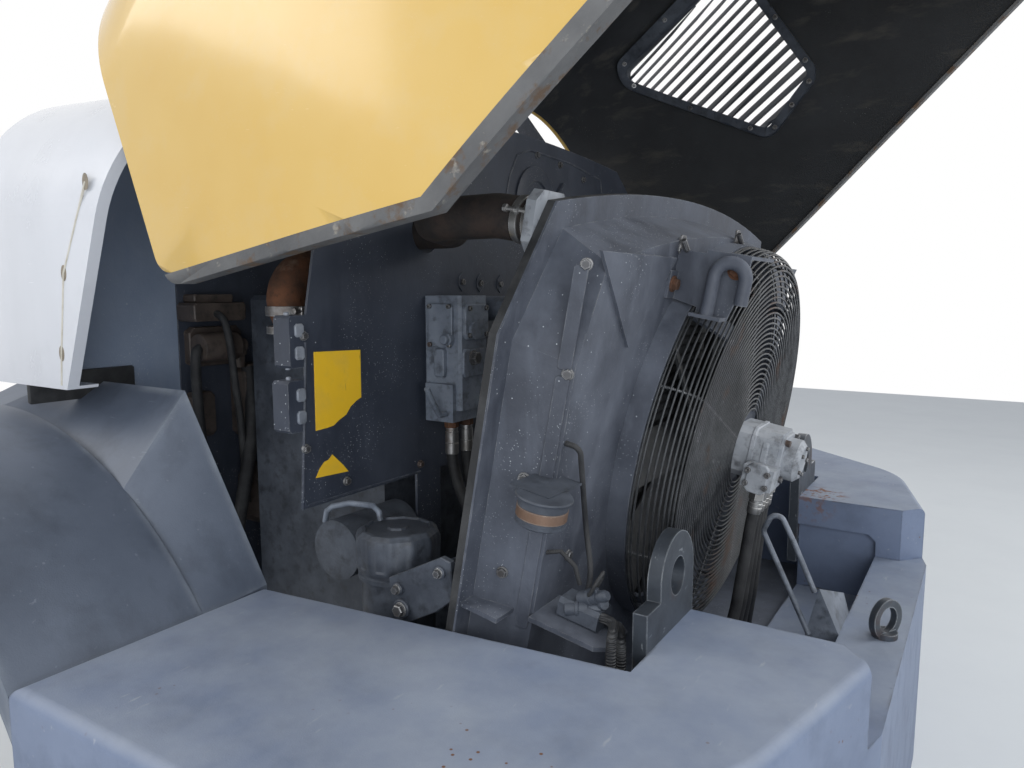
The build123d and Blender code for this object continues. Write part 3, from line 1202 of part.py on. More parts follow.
OUTER = body_solid(0)
SKIN_INNER = body_solid(BONNET_SKIN)
STRIP_INNER = body_solid(SILL_STRIP_WIDTH)
LINER_OUTER = body_solid(BONNET_SKIN + LINER_GAP)
LINER_INNER = body_solid(BONNET_SKIN + LINER_GAP + LINER)
CAVITY = body_solid(BONNET_SKIN + 2 * LINER_GAP + LINER)
SLAT_INNER = body_solid(BONNET_SKIN + SLAT_WIDTH)
COWL_INNER = body_solid(COWL_SKIN)

side = bonnet_side(OUTER, SKIN_INNER)
liner = side_liner(LINER_OUTER, LINER_INNER)
grille = window_grille(SKIN_INNER, SLAT_INNER)
arm = hinge_arm(CAVITY)

BONNET_NODES = {
    "bonnet_side_left": side,
    "bonnet_side_right": mirrored(side),
    "bonnet_roof": bonnet_roof(OUTER, SKIN_INNER),
    "bonnet_tail": bonnet_tail(SKIN_INNER),
    "bonnet_sill_left": sill_strip(OUTER, STRIP_INNER, SILL_STRIP_LEFT),
    "bonnet_sill_right": mirrored(sill_strip(OUTER, STRIP_INNER, SILL_STRIP_RIGHT)),
    "bonnet_liner_left": liner,
    "bonnet_liner_right": mirrored(liner),
    "bonnet_liner_roof": roof_liner(LINER_OUTER, LINER_INNER),
    "bonnet_grille_left": grille,
    "bonnet_grille_right": mirrored(grille),
    "hinge_arm_left": arm,
    "hinge_arm_right": mirrored(arm),
}

BAY_NODES = {
    "chassis_frame": chassis_frame(),
    "counterweight": counterweight(),
    "lifting_eye_left": lifting_eye(),
    "lifting_eye_right": mirrored(lifting_eye()),
    "ledge_ring": ledge_ring(),
    "coupling_bracket": coupling_bracket(),
    "conduit_near": plug_conduit(0),
    "conduit_far": plug_conduit(1),
    "foot_plate": foot_plate(),
    "partition": partition(),
    "engine_block": engine_block(),
    "exhaust_elbow": exhaust_elbow(),
    "charge_tube": charge_tube(),
    "valve_block": valve_block(),
    "valve_hose_rear": valve_hose(0),
    "valve_hose_front": valve_hose(1),
    "pipe_stub": pipe_stub(),
    "motor_hose_left": motor_hose(0),
    "motor_hose_middle": motor_hose(1),
    "motor_hose_right": motor_hose(2),
    "motor_hose_far": motor_hose(3),
    "filter_plate": filter_plate(),
    "oil_filter": oil_filter(),
    "side_drum": side_drum(),
    "cowl": cowl(OUTER, COWL_INNER),
    "bulkhead": bulkhead(COWL_INNER) + hinge_bracket() + mirrored(hinge_bracket()),
    "fender_left": fender(),
    "fender_right": mirrored(fender()),
}

COOLING_NODES = {
    "cooler_frame": cooler_frame(),
    "cooler_seal": cooler_seal(),
    "cooler_core": cooler_core(),
    "shroud_ring": shroud_ring(),
    "fan_guard": fan_guard(),
    "fan": fan(),
    "motor_spider": motor_spider(),
    "fan_motor": fan_motor(),
    "tube_flange": tube_flange(),
    "top_bracket": top_bracket(),
    "horn": horn(),
    "horn_lead": horn_lead(),
    "connector_block": connector_block(),
}

HINGE = Pos(HINGE_AHEAD, 0, HINGE_ABOVE)
OPENED = BAY * HINGE * Rot(0, BONNET_OPEN_ANGLE, 0) * HINGE.inverse()

PLACED = {name: BAY * shape for name, shape in BAY_NODES.items()}
PLACED |= {name: RAKED * shape for name, shape in COOLING_NODES.items()}
PLACED |= {name: OPENED * shape for name, shape in BONNET_NODES.items()}

for name, shape in PLACED.items():
    export_step(shape, f"parts/{name}.step")
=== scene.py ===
"""Dresses the rear engine section of a wheel loader: finishes, fine pieces, light and camera."""

import bmesh
import bpy
import math
from mathutils import Matrix, Vector


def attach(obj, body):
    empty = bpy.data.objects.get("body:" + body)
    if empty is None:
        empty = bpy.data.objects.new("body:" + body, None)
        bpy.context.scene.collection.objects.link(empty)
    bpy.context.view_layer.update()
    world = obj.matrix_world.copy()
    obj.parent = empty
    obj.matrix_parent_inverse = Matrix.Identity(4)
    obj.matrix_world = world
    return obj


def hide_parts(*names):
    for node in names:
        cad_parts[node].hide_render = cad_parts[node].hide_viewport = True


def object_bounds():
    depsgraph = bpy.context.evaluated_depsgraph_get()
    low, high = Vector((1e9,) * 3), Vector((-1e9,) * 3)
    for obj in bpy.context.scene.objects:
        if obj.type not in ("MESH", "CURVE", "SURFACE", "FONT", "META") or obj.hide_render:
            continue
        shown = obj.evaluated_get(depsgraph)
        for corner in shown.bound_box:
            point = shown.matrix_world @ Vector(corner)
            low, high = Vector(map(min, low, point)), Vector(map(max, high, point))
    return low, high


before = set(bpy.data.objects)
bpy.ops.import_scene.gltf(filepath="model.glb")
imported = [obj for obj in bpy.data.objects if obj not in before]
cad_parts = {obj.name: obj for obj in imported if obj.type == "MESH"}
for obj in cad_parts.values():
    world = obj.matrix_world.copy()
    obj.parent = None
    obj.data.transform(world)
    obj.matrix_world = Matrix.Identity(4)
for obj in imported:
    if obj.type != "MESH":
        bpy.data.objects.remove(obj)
CAD_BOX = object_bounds()

# Sizes and places repeated from the part's source, in mm
FAN_X = -1500.0
FAN_Z = 630.0
FAN_RAKE = math.radians(10.3)
PANEL_AHEAD = 118.0
HINGE_AHEAD = 1138.0
HINGE_ABOVE = 637.0
OPEN_ANGLE = math.radians(44.5)
PARTITION_AHEAD = 575.0
FILTER_AHEAD = 470.0
FILTER_Y = 615.0
FILTER_FOOT = -330.0
BODY_KINK = 575.0
BODY_TAIL = -345.0
BODY_HALF_WIDTH = 905.0
BODY_TAIL_HALF_WIDTH = 745.0
BODY_ROOF = 750.0
BODY_TAIL_ROOF = 585.0
BODY_CROWN = 26.0
BODY_SHOULDER = 270.0
BULKHEAD_AHEAD = 1200.0

# Bend of the bonnet at the kink, the lining's face inside the body, and the screws beside a window
BODY_BEND_RADIUS = 2500.0
ROOF_BEND_SHARE = 0.7
LINING_DEPTH = 30.0
SCREW_MARGIN = 13.0

# Corners of the louvred window: ahead, height
WINDOW = [(322.0, 112.0), (520.0, 620.0), (62.0, 530.0), (130.0, 128.0)]

# Camera, fitted to the photograph
CAMERA_PLACE = (-1.9524, 1.6651, 0.9720)
CAMERA_LOOK = (0.5327, -0.8373, -0.1231)
CAMERA_ROLL = math.radians(-0.06)
CAMERA_LENS = 26.69

# Frames in which pieces are built, all in mm
MM = Matrix.Scale(0.001, 4)
BAY = Matrix.Translation((FAN_X / 1000, 0, FAN_Z / 1000)) @ MM
RAKED = Matrix.Translation((FAN_X / 1000, 0, FAN_Z / 1000)) @ Matrix(
    ((0, -math.sin(FAN_RAKE), math.cos(FAN_RAKE), 0), (1, 0, 0, 0),
     (0, math.cos(FAN_RAKE), math.sin(FAN_RAKE), 0), (0, 0, 0, 1))) @ MM
HINGE = Matrix.Translation((HINGE_AHEAD, 0, HINGE_ABOVE))
RAISED = BAY @ HINGE @ Matrix.Rotation(OPEN_ANGLE, 4, "Y") @ HINGE.inverted()


def srgb(red, green, blue):
    """Linear colour of a screen colour given from 0 to 255."""
    def linear(value):
        value /= 255
        return value / 12.92 if value <= 0.04045 else ((value + 0.055) / 1.055) ** 2.4
    return (linear(red), linear(green), linear(blue), 1.0)


class Finish:
    """Procedural material, built up in layers over a base colour."""

    def __init__(self, name, colour, roughness, metallic=0.0, coat=0.0):
        self.material = bpy.data.materials.new(name)
        self.material.use_nodes = True
        self.nodes = self.material.node_tree.nodes
        self.links = self.material.node_tree.links
        self.shader = self.nodes["Principled BSDF"]
        self.shader.inputs["Metallic"].default_value = metallic
        self.shader.inputs["Coat Weight"].default_value = coat
        self.shader.inputs["Coat Roughness"].default_value = 0.12
        coordinates = self.nodes.new("ShaderNodeTexCoord")
        self.place = coordinates.outputs["Object"]
        self.normal = coordinates.outputs["Normal"]
        self.colour = colour
        self.roughness = roughness
        self.height = None

    def feed(self, socket, value):
        """Links a socket to another, or sets it to a plain value."""
        if isinstance(value, bpy.types.NodeSocket):
            self.links.new(value, socket)
        else:
            socket.default_value = value

    def noise(self, scale, detail=4.0, stretch=(1, 1, 1)):
        """Cloudy value, larger along an axis where stretch is smaller."""
        mapping = self.nodes.new("ShaderNodeMapping")
        mapping.inputs["Scale"].default_value = [scale * s for s in stretch]
        self.links.new(self.place, mapping.inputs["Vector"])
        node = self.nodes.new("ShaderNodeTexNoise")
        node.inputs["Scale"].default_value = 1.0
        node.inputs["Detail"].default_value = detail
        node.inputs["Roughness"].default_value = 0.62
        self.links.new(mapping.outputs["Vector"], node.inputs["Vector"])
        return node.outputs["Fac"]

    def cells(self, scale, stretch=(1, 1, 1)):
        """Distance from scattered points."""
        mapping = self.nodes.new("ShaderNodeMapping")
        mapping.inputs["Scale"].default_value = [scale * s for s in stretch]
        self.links.new(self.place, mapping.inputs["Vector"])
        node = self.nodes.new("ShaderNodeTexVoronoi")
        node.inputs["Scale"].default_value = 1.0
        self.links.new(mapping.outputs["Vector"], node.inputs["Vector"])
        return node.outputs["Distance"]

    def waves(self, scale, axis="Z"):
        """Even bands across an axis."""
        node = self.nodes.new("ShaderNodeTexWave")
        node.bands_direction = axis
        node.inputs["Scale"].default_value = scale
        self.links.new(self.place, node.inputs["Vector"])
        return node.outputs["Fac"]

    def span(self, value, low, high, to_low=0.0, to_high=1.0):
        """Value remapped from one range to another, kept inside it."""
        node = self.nodes.new("ShaderNodeMapRange")
        node.inputs["From Min"].default_value = low
        node.inputs["From Max"].default_value = high
        node.inputs["To Min"].default_value = to_low
        node.inputs["To Max"].default_value = to_high
        self.links.new(value, node.inputs["Value"])
        return node.outputs["Result"]

    def times(self, first, second):
        """Product of two masks."""
        node = self.nodes.new("ShaderNodeMath")
        node.operation = "MULTIPLY"
        self.feed(node.inputs[0], first)
        self.feed(node.inputs[1], second)
        return node.outputs["Value"]

    def upward(self, low=0.3, high=0.95):
        """Mask of the faces that look up, where dust settles."""
        split = self.nodes.new("ShaderNodeSeparateXYZ")
        self.links.new(self.normal, split.inputs["Vector"])
        return self.span(split.outputs["Z"], low, high)

    def near(self, point, reach):
        """Mask that fades out at a distance in metres from a point."""
        away = self.nodes.new("ShaderNodeVectorMath")
        away.operation = "DISTANCE"
        self.links.new(self.place, away.inputs[0])
        away.inputs[1].default_value = point
        return self.span(away.outputs["Value"], reach, reach * 0.5)

    def edges(self, radius, low=0.02, high=0.12):
        """Mask of the edges, where the finish wears off."""
        bevel = self.nodes.new("ShaderNodeBevel")
        bevel.samples = 4
        bevel.inputs["Radius"].default_value = radius
        geometry = self.nodes.new("ShaderNodeNewGeometry")
        dot = self.nodes.new("ShaderNodeVectorMath")
        dot.operation = "DOT_PRODUCT"
        self.links.new(bevel.outputs["Normal"], dot.inputs[0])
        self.links.new(geometry.outputs["Normal"], dot.inputs[1])
        return self.span(dot.outputs["Value"], 1 - low, 1 - high)

    def layer(self, mask, colour, roughness=None):
        """Lays a colour, and its roughness, over what is there."""
        mix = self.nodes.new("ShaderNodeMix")
        mix.data_type = "RGBA"
        self.feed(mix.inputs[0], mask)
        self.feed(mix.inputs[6], self.colour)
        self.feed(mix.inputs[7], colour)
        self.colour = mix.outputs[2]
        if roughness is not None:
            blend = self.nodes.new("ShaderNodeMix")
            self.feed(blend.inputs[0], mask)
            self.feed(blend.inputs[2], self.roughness)
            self.feed(blend.inputs[3], roughness)
            self.roughness = blend.outputs[0]
        return self

    def bump(self, height, distance):
        """Raises the surface by a mask, distance in metres."""
        node = self.nodes.new("ShaderNodeBump")
        node.inputs["Strength"].default_value = 1.0
        node.inputs["Distance"].default_value = distance
        self.links.new(height, node.inputs["Height"])
        if self.height is not None:
            self.links.new(self.height, node.inputs["Normal"])
        self.height = node.outputs["Normal"]
        return self

    def done(self):
        """Links the layers to the shader and gives the material."""
        self.feed(self.shader.inputs["Base Color"], self.colour)
        self.feed(self.shader.inputs["Roughness"], self.roughness)
        if self.height is not None:
            self.links.new(self.height, self.shader.inputs["Normal"])
        return self.material


# Finishes


def gloss_paint(name, colour, pale, dust):
    """Glossy body paint with faint mottling, fine dust and a few hair scratches."""
    f = Finish(name, colour, 0.24, coat=0.5)
    f.layer(f.span(f.noise(1.6), 0.35, 0.75, 0, 0.55), pale)
    f.layer(f.span(f.noise(9.0, 6), 0.5, 0.8, 0, 0.2), dust, 0.5)
    f.layer(f.span(f.noise(3.0, 5, (1, 1, 0.12)), 0.55, 0.8, 0, 0.16), dust, 0.45)
    f.layer(f.times(f.span(f.cells(420), 0.12, 0.05), f.span(f.noise(14.0, 3), 0.52, 0.62)), dust, 0.6)
    f.layer(f.span(f.noise(900, 2, (0.02, 1, 0.5)), 0.74, 0.78, 0, 0.3), pale, 0.4)
    f.bump(f.noise(700, 2), 0.00004)
    return f.done()


def dusty_sheet(name, colour, dust, specks=srgb(196, 200, 204), dusting=0.55, gloss=0.55):
    """Black painted sheet metal under dust, with pale specks and rubbed edges."""
    f = Finish(name, colour, gloss)
    f.layer(f.span(f.noise(5.5, 8), 0.36, 0.72, 0, dusting), dust, 0.8)
    f.layer(f.span(f.noise(24.0, 6, (1, 1, 0.25)), 0.5, 0.75, 0, dusting * 0.6), dust, 0.85)
    f.layer(f.times(f.upward(), f.span(f.noise(11.0, 5), 0.25, 0.7)), dust, 0.9)
    f.layer(f.times(f.span(f.cells(190), 0.17, 0.08), f.span(f.noise(7.0, 3), 0.5, 0.62)), specks, 0.9)
    f.layer(f.times(f.span(f.cells(70), 0.09, 0.05), f.span(f.noise(4.0, 3), 0.5, 0.6)), specks, 0.9)
    worn = f.span(f.noise(30.0, 4), 0.45, 0.62, 0, 0.75)
    f.layer(f.times(f.edges(0.003), worn), srgb(132, 134, 136), 0.5)
    f.bump(f.noise(260, 5), 0.0003)
    f.bump(f.noise(22, 4), 0.0012)
    return f.done()


# Places in metres of the oil drops and the rust on the counterweight
OIL_DROPS = (-1.93, 0.27, 0.30)
RUST_BLOOM = (-1.57, -0.49, 0.41)


def weight_paint():
    """Grey paint on the cast counterweight, with a painted blue cast of sky reflection and shade: sandy
    texture, scuffs, chips and brown stains.
    """
    # The blue in these greys is painted sky reflection and shade; the paint itself is a plainer grey
    f = Finish("weight_paint", srgb(104, 116, 140), 0.5)
    f.layer(f.span(f.noise(2.2, 6), 0.35, 0.72, 0, 0.6), srgb(136, 148, 172), 0.55)
    f.layer(f.span(f.noise(13.0, 7), 0.48, 0.75, 0, 0.45), srgb(84, 93, 110), 0.65)
    f.layer(f.times(f.upward(), f.span(f.noise(4.0, 6), 0.3, 0.7, 0, 0.7)), srgb(166, 172, 182), 0.7)
    f.layer(f.span(f.noise(60, 5, (1, 0.2, 1)), 0.66, 0.74, 0, 0.5), srgb(178, 180, 184), 0.6)
    chips = f.span(f.noise(16.0, 5), 0.42, 0.62, 0, 0.9)
    f.layer(f.times(f.edges(0.008), chips), srgb(74, 77, 82), 0.5)
    stains = f.times(f.span(f.cells(46), 0.13, 0.08), f.span(f.noise(3.4, 3), 0.58, 0.66))
    f.layer(stains, srgb(112, 78, 56), 0.85)
    f.layer(f.times(f.span(f.cells(62), 0.2, 0.13), f.near(OIL_DROPS, 0.10)), srgb(40, 42, 46), 0.5)
    f.layer(f.times(f.span(f.noise(48.0, 5), 0.5, 0.6), f.near(RUST_BLOOM, 0.09)), srgb(128, 84, 56), 0.9)
    f.bump(f.noise(420, 4), 0.00035)
    f.bump(f.noise(9, 4), 0.0016)
    return f.done()


def scuffed_plastic():
    """Dark grey moulded plastic of the fenders, grained, faded and scuffed pale."""
    f = Finish("scuffed_plastic", srgb(84, 92, 106), 0.46)
    f.layer(f.span(f.noise(2.6, 7), 0.35, 0.75, 0, 0.7), srgb(120, 128, 142), 0.6)
    f.layer(f.span(f.noise(11.0, 6, (1, 1, 0.3)), 0.5, 0.72, 0, 0.5), srgb(62, 68, 79), 0.5)
    faded = f.span(f.noise(9.0, 7), 0.35, 0.62)
    f.layer(f.times(f.edges(0.02, 0.01, 0.08), faded), srgb(138, 144, 152), 0.75)
    f.layer(f.span(f.noise(120, 3, (0.05, 0.6, 1)), 0.68, 0.74, 0, 0.5), srgb(134, 140, 150), 0.7)
    f.bump(f.noise(340, 4), 0.0003)
    return f.done()


def rust(name, dark, warm, pale, metallic=0.35):
    """Rusted steel: dark scale, warm bloom, and lighter patches that are partly rubbed places and partly
    painted highlight.
    """
    f = Finish(name, dark, 0.75, metallic)
    f.layer(f.span(f.noise(18.0, 8), 0.38, 0.68), warm, 0.85)
    f.layer(f.span(f.noise(70.0, 6), 0.5, 0.7, 0, 0.7), dark, 0.9)
    # Pale patches: rubbed steel, and in part painted highlights
    f.layer(f.span(f.noise(8.0, 5), 0.56, 0.74, 0, 0.8), pale, 0.5)
    f.bump(f.noise(220, 6), 0.0005)
    return f.done()


def worn_steel(name, colour, bright, stain, metallic=0.8):
    """Bare or thinly painted steel, rubbed bright on its edges, stained between."""
    f = Finish(name, colour, 0.42, metallic)
    f.layer(f.span(f.noise(14.0, 7), 0.4, 0.7, 0, 0.7), stain, 0.6)
    f.layer(f.times(f.edges(0.004), f.span(f.noise(22.0, 4), 0.3, 0.55)), bright, 0.3)
    f.layer(f.span(f.noise(160, 3, (1, 0.08, 0.3)), 0.66, 0.72, 0, 0.6), bright, 0.3)
    f.layer(f.times(f.span(f.noise(6.0, 6), 0.58, 0.7), 0.7), srgb(96, 68, 50), 0.85)
    f.bump(f.noise(300, 5), 0.0002)
    return f.done()


def cast_metal(name, colour, pale, grime, metallic=0.15):
    """Rough casting, greasy in patches and dusty on top."""
    f = Finish(name, colour, 0.5, metallic)
    f.layer(f.span(f.noise(10.0, 7), 0.4, 0.7, 0, 0.75), pale, 0.6)
    f.layer(f.span(f.noise(34.0, 6), 0.5, 0.68, 0, 0.7), grime, 0.4)
    f.layer(f.times(f.upward(), f.span(f.noise(18.0, 5), 0.3, 0.7, 0, 0.5)), pale, 0.85)
    f.bump(f.noise(420, 4), 0.00045)
    return f.done()


def rubber(name, colour, dust, weave=0.0):
    """Black rubber, chalky where it is dusty, with a braided cover where weave is set."""
    f = Finish(name, colour, 0.6)
    f.layer(f.span(f.noise(16.0, 6), 0.42, 0.75, 0, 0.6), dust, 0.85)
    f.layer(f.times(f.upward(), f.span(f.noise(26.0, 5), 0.3, 0.7, 0, 0.6)), dust, 0.9)
    if weave:
        f.bump(f.waves(weave, "DIAGONAL"), 0.0004)
    f.bump(f.noise(300, 4), 0.0003)
    return f.done()


def ribbed_plastic():
    """Corrugated conduit: close rings along its upright run."""
    f = Finish("ribbed_plastic", srgb(32, 33, 36), 0.5)
    f.layer(f.span(f.noise(30.0, 5), 0.45, 0.75, 0, 0.6), srgb(96, 97, 98), 0.85)
    f.bump(f.waves(70.0, "Z"), 0.002)
    return f.done()


def lining():
    """Black sound lining with a soft pebbled face, dusty and stained."""
    f = Finish("lining", srgb(30, 32, 35), 0.7)
    f.layer(f.span(f.noise(4.0, 7), 0.4, 0.72, 0, 0.6), srgb(58, 60, 63), 0.85)
    f.layer(f.span(f.noise(17.0, 6, (0.3, 1, 1)), 0.55, 0.7, 0, 0.5), srgb(84, 80, 74), 0.9)
    specks = f.times(f.span(f.cells(150), 0.12, 0.06), f.span(f.noise(5.0, 3), 0.6, 0.68))
    f.layer(specks, srgb(150, 150, 148), 0.9)
    f.bump(f.cells(240), 0.0005)
    return f.done()


def core_fins():
    """Face of the cooler: upright fins between flat tubes, dusty."""
    f = Finish("core_fins", srgb(52, 54, 58), 0.5, 0.5)
    tubes = f.span(f.waves(16.0, "Z"), 0.8, 0.95)
    f.layer(f.span(f.noise(6.0, 6), 0.4, 0.7, 0, 0.7), srgb(98, 96, 92), 0.9)
    f.layer(tubes, srgb(28, 29, 31), 0.5)
    f.bump(f.waves(110.0, "Y"), 0.0015)
    f.bump(tubes, 0.002)
    return f.done()


def strip_finish():
    """Dirty grey strip under the yellow sides, its paint peeling to brown."""
    f = Finish("strip_finish", srgb(104, 104, 104), 0.7)
    f.layer(f.span(f.noise(7.0, 7), 0.4, 0.7, 0, 0.8), srgb(74, 74, 76), 0.75)
    f.layer(f.span(f.noise(26.0, 7), 0.52, 0.62, 0, 0.9), srgb(98, 78, 60), 0.9)
    f.layer(f.span(f.noise(44.0, 5), 0.62, 0.7, 0, 0.8), srgb(150, 144, 134), 0.85)
    f.bump(f.noise(90, 6), 0.0011)
    return f.done()


def plate_finish():
    """Blank yellow plate, thinly scratched and dusty."""
    f = Finish("plate_finish", srgb(250, 200, 50), 0.4, coat=0.2)
    f.layer(f.span(f.noise(20.0, 6), 0.45, 0.75, 0, 0.5), srgb(222, 184, 88), 0.6)
    f.layer(f.span(f.noise(300, 3, (0.2, 1, 0.06)), 0.68, 0.74, 0, 0.8), srgb(120, 104, 66), 0.7)
    f.bump(f.noise(200, 3), 0.0001)
    return f.done()


YELLOW = gloss_paint("body_yellow", srgb(214, 174, 88), srgb(226, 196, 126), srgb(206, 192, 156))
WHITE = gloss_paint("body_white", srgb(214, 216, 222), srgb(232, 232, 236), srgb(176, 178, 182))
WEIGHT = weight_paint()
SHEET = dusty_sheet("frame_sheet", srgb(62, 66, 76), srgb(112, 117, 128), dusting=0.7)
DARK_SHEET = dusty_sheet("partition_sheet", srgb(50, 55, 66), srgb(84, 90, 103), dusting=0.4, gloss=0.42)
BULKHEAD = dusty_sheet("bulkhead_paint", srgb(128, 141, 162), srgb(150, 160, 176), dusting=0.5)
CHASSIS = dusty_sheet("chassis_paint", srgb(56, 58, 62), srgb(94, 90, 84), dusting=0.7)
PLASTIC = scuffed_plastic()
SEAL = rubber("seal_rubber", srgb(34, 35, 37), srgb(86, 86, 86))
HOSE = rubber("hose_rubber", srgb(30, 31, 34), srgb(82, 82, 82), weave=150.0)
CONDUIT = ribbed_plastic()
LINING = lining()
FINS = core_fins()
STRIP = strip_finish()
# On the exhaust elbow the pale patches of this rust also stand for painted highlights
RUST = rust("rusted_steel", srgb(84, 62, 50), srgb(132, 88, 62), srgb(172, 150, 130))
CHARGE = rust("brown_black_tube", srgb(34, 32, 32), srgb(62, 50, 44), srgb(84, 74, 68), 0.1)
EYE_STEEL = worn_steel("worn_steel", srgb(78, 84, 92), srgb(176, 180, 184), srgb(56, 60, 66), 0.55)
BOLT_STEEL = worn_steel("bolt_steel", srgb(92, 92, 94), srgb(170, 170, 170), srgb(66, 60, 56), 0.6)
ZINC = worn_steel("bright_clamp", srgb(150, 150, 150), srgb(204, 204, 204), srgb(104, 98, 90), 0.85)
CAST_LIGHT = cast_metal("light_casting", srgb(150, 154, 160), srgb(196, 198, 202), srgb(62, 62, 64))
CAST_GREY = cast_metal("grey_casting", srgb(116, 124, 137), srgb(154, 162, 174), srgb(62, 65, 72))
CAST_DARK = cast_metal("dark_casting", srgb(60, 65, 74), srgb(98, 104, 114), srgb(34, 36, 40))
WIRE = worn_steel("black_wire", srgb(44, 46, 49), srgb(128, 129, 131), srgb(30, 31, 33), 0.2)
BLADE = cast_metal("fan_blade", srgb(38, 40, 43), srgb(74, 74, 74), srgb(22, 23, 24), 0.0)
PLATE = plate_finish()
COUPLING = cast_metal("coupling_grey", srgb(104, 110, 120), srgb(150, 156, 166), srgb(52, 55, 60), 0.2)
BAND_METAL = worn_steel("band_metal", srgb(124, 100, 84), srgb(186, 176, 166), srgb(92, 70, 56), 0.5)
SLOT_SHADE = cast_metal("slot_shade", srgb(142, 130, 112), srgb(168, 158, 142), srgb(96, 86, 74), 0.0)
CREAM_LINE = cast_metal("cream_line", srgb(214, 208, 194), srgb(224, 220, 210), srgb(186, 178, 160), 0.0)
GRIMY = cast_metal("grimy_iron", srgb(70, 62, 58), srgb(104, 92, 84), srgb(34, 32, 32), 0.1)
LIGHT_GREY = cast_metal("latch_grey", srgb(132, 138, 148), srgb(168, 172, 180), srgb(74, 76, 80), 0.3)

NODE_FINISH = {
    "chassis_frame": CHASSIS, "counterweight": WEIGHT, "lifting_eye_left": EYE_STEEL,
    "lifting_eye_right": EYE_STEEL, "ledge_ring": EYE_STEEL, "coupling_bracket": COUPLING,
    "conduit_near": CONDUIT, "conduit_far": CONDUIT, "foot_plate": SHEET, "partition": DARK_SHEET,
    "engine_block": CAST_DARK, "exhaust_elbow": RUST, "charge_tube": CHARGE, "valve_block": CAST_GREY,
    "valve_hose_rear": HOSE, "valve_hose_front": HOSE, "pipe_stub": CAST_GREY, "motor_hose_left": HOSE,
    "motor_hose_middle": HOSE, "motor_hose_right": HOSE, "motor_hose_far": HOSE, "filter_plate": CAST_GREY,
    "oil_filter": CAST_DARK, "side_drum": CAST_DARK, "cowl": WHITE, "bulkhead": BULKHEAD,
    "fender_left": PLASTIC, "fender_right": PLASTIC, "cooler_frame": SHEET, "cooler_seal": SEAL,
    "cooler_core": FINS, "shroud_ring": SHEET, "fan_guard": WIRE, "fan": BLADE, "motor_spider": SHEET,
    "fan_motor": CAST_LIGHT, "tube_flange": CAST_LIGHT, "top_bracket": SHEET, "horn": CAST_DARK,
    "horn_lead": HOSE, "connector_block": CAST_DARK, "bonnet_side_left": YELLOW,
    "bonnet_side_right": YELLOW, "bonnet_roof": YELLOW, "bonnet_tail": YELLOW, "bonnet_sill_left": STRIP,
    "bonnet_sill_right": STRIP, "bonnet_liner_left": LINING, "bonnet_liner_right": LINING,
    "bonnet_liner_roof": LINING, "bonnet_grille_left": CAST_DARK, "bonnet_grille_right": CAST_DARK,
    "hinge_arm_left": SHEET, "hinge_arm_right": SHEET,
}
for node_name, finish in NODE_FINISH.items():
    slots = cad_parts[node_name].data.materials
    slots.clear()
    slots.append(finish)


# Mesh building, in mm


def facing(point, normal, spin=0.0):
    """Matrix that stands local Z on a point along a normal."""
    turn = Vector(normal).normalized().to_track_quat("Z", "Y").to_matrix().to_4x4()
    return Matrix.Translation(point) @ turn @ Matrix.Rotation(spin, 4, "Z")


def loops(mesh, rings, close_ends=True, cyclic=False):
    """Skins a row of point rings with quads."""
    rows = [[mesh.verts.new(p) for p in ring] for ring in rings]
    pairs = list(zip(rows, rows[1:]))
    if cyclic:
        pairs.append((rows[-1], rows[0]))
    for first, second in pairs:
        count = len(first)
        for i in range(count):
            mesh.faces.new((first[i], first[(i + 1) % count], second[(i + 1) % count], second[i]))
    if close_ends and not cyclic:
        mesh.faces.new(list(reversed(rows[0])))
        mesh.faces.new(rows[-1])


def turned(mesh, matrix, profile, sides=24, wobble=None):
    """Form turned about local Z from (radius, height) pairs; wobble scales a radius by its angle."""
    rings = []
    for radius, height in profile:
        ring = []
        for i in range(sides):
            angle = 2 * math.pi * i / sides
            r = radius * (wobble(angle, height) if wobble else 1.0)
            ring.append(matrix @ Vector((r * math.cos(angle), r * math.sin(angle), height)))
        rings.append(ring)
    loops(mesh, rings)


def swept(mesh, points, radius, sides=10, cyclic=False):
    """Round wire along a row of points."""
    points = [Vector(p) for p in points]
    count = len(points)
    rings = []
    side = None
    for i, point in enumerate(points):
        if cyclic:
            run = points[(i + 1) % count] - points[i - 1]
        else:
            run = points[min(i + 1, count - 1)] - points[max(i - 1, 0)]
        run.normalize()
        if side is None:
            side = run.orthogonal().normalized()
        side = (side - run * side.dot(run)).normalized()
        other = run.cross(side)
        ring = []
        for k in range(sides):
            angle = 2 * math.pi * k / sides
            ring.append(point + radius * (side * math.cos(angle) + other * math.sin(angle)))
        rings.append(ring)
    loops(mesh, rings, cyclic=cyclic)


def curved(points, steps=7):
    """Smooth row of points that runs through the given ones."""
    points = [Vector(p) for p in points]
    padded = [2 * points[0] - points[1]] + points + [2 * points[-1] - points[-2]]
    row = []
    for before, start, end, after in zip(padded, padded[1:], padded[2:], padded[3:]):
        square = 2 * before - 5 * start + 4 * end - after
        cube = 3 * start - before - 3 * end + after
        for step in range(steps):
            t = step / steps
            row.append(0.5 * (2 * start + (end - before) * t + square * t ** 2 + cube * t ** 3))
    return row + [points[-1]]


def circle(matrix, radius, sides=64):
    """Ring of points about local Z."""
    angles = [2 * math.pi * i / sides for i in range(sides)]
    return [matrix @ Vector((radius * math.cos(a), radius * math.sin(a), 0)) for a in angles]


def slab(mesh, matrix, outline, low, high, edge=0.0):
    """Plate from a 2D outline, with a chamfer of width edge round its top."""
    centre = sum((Vector(p) for p in outline), Vector((0, 0))) / len(outline)
    rings = []
    steps = [(low, 0.0), (high - edge, 0.0), (high, edge)] if edge else [(low, 0.0), (high, 0.0)]
    for height, inset in steps:
        ring = []
        for p in outline:
            out = Vector(p) - centre
            out = out * (1 - inset / max(out.length, 1e-6))
            ring.append(matrix @ Vector((centre.x + out.x, centre.y + out.y, height)))
        rings.append(ring)
    loops(mesh, rings)


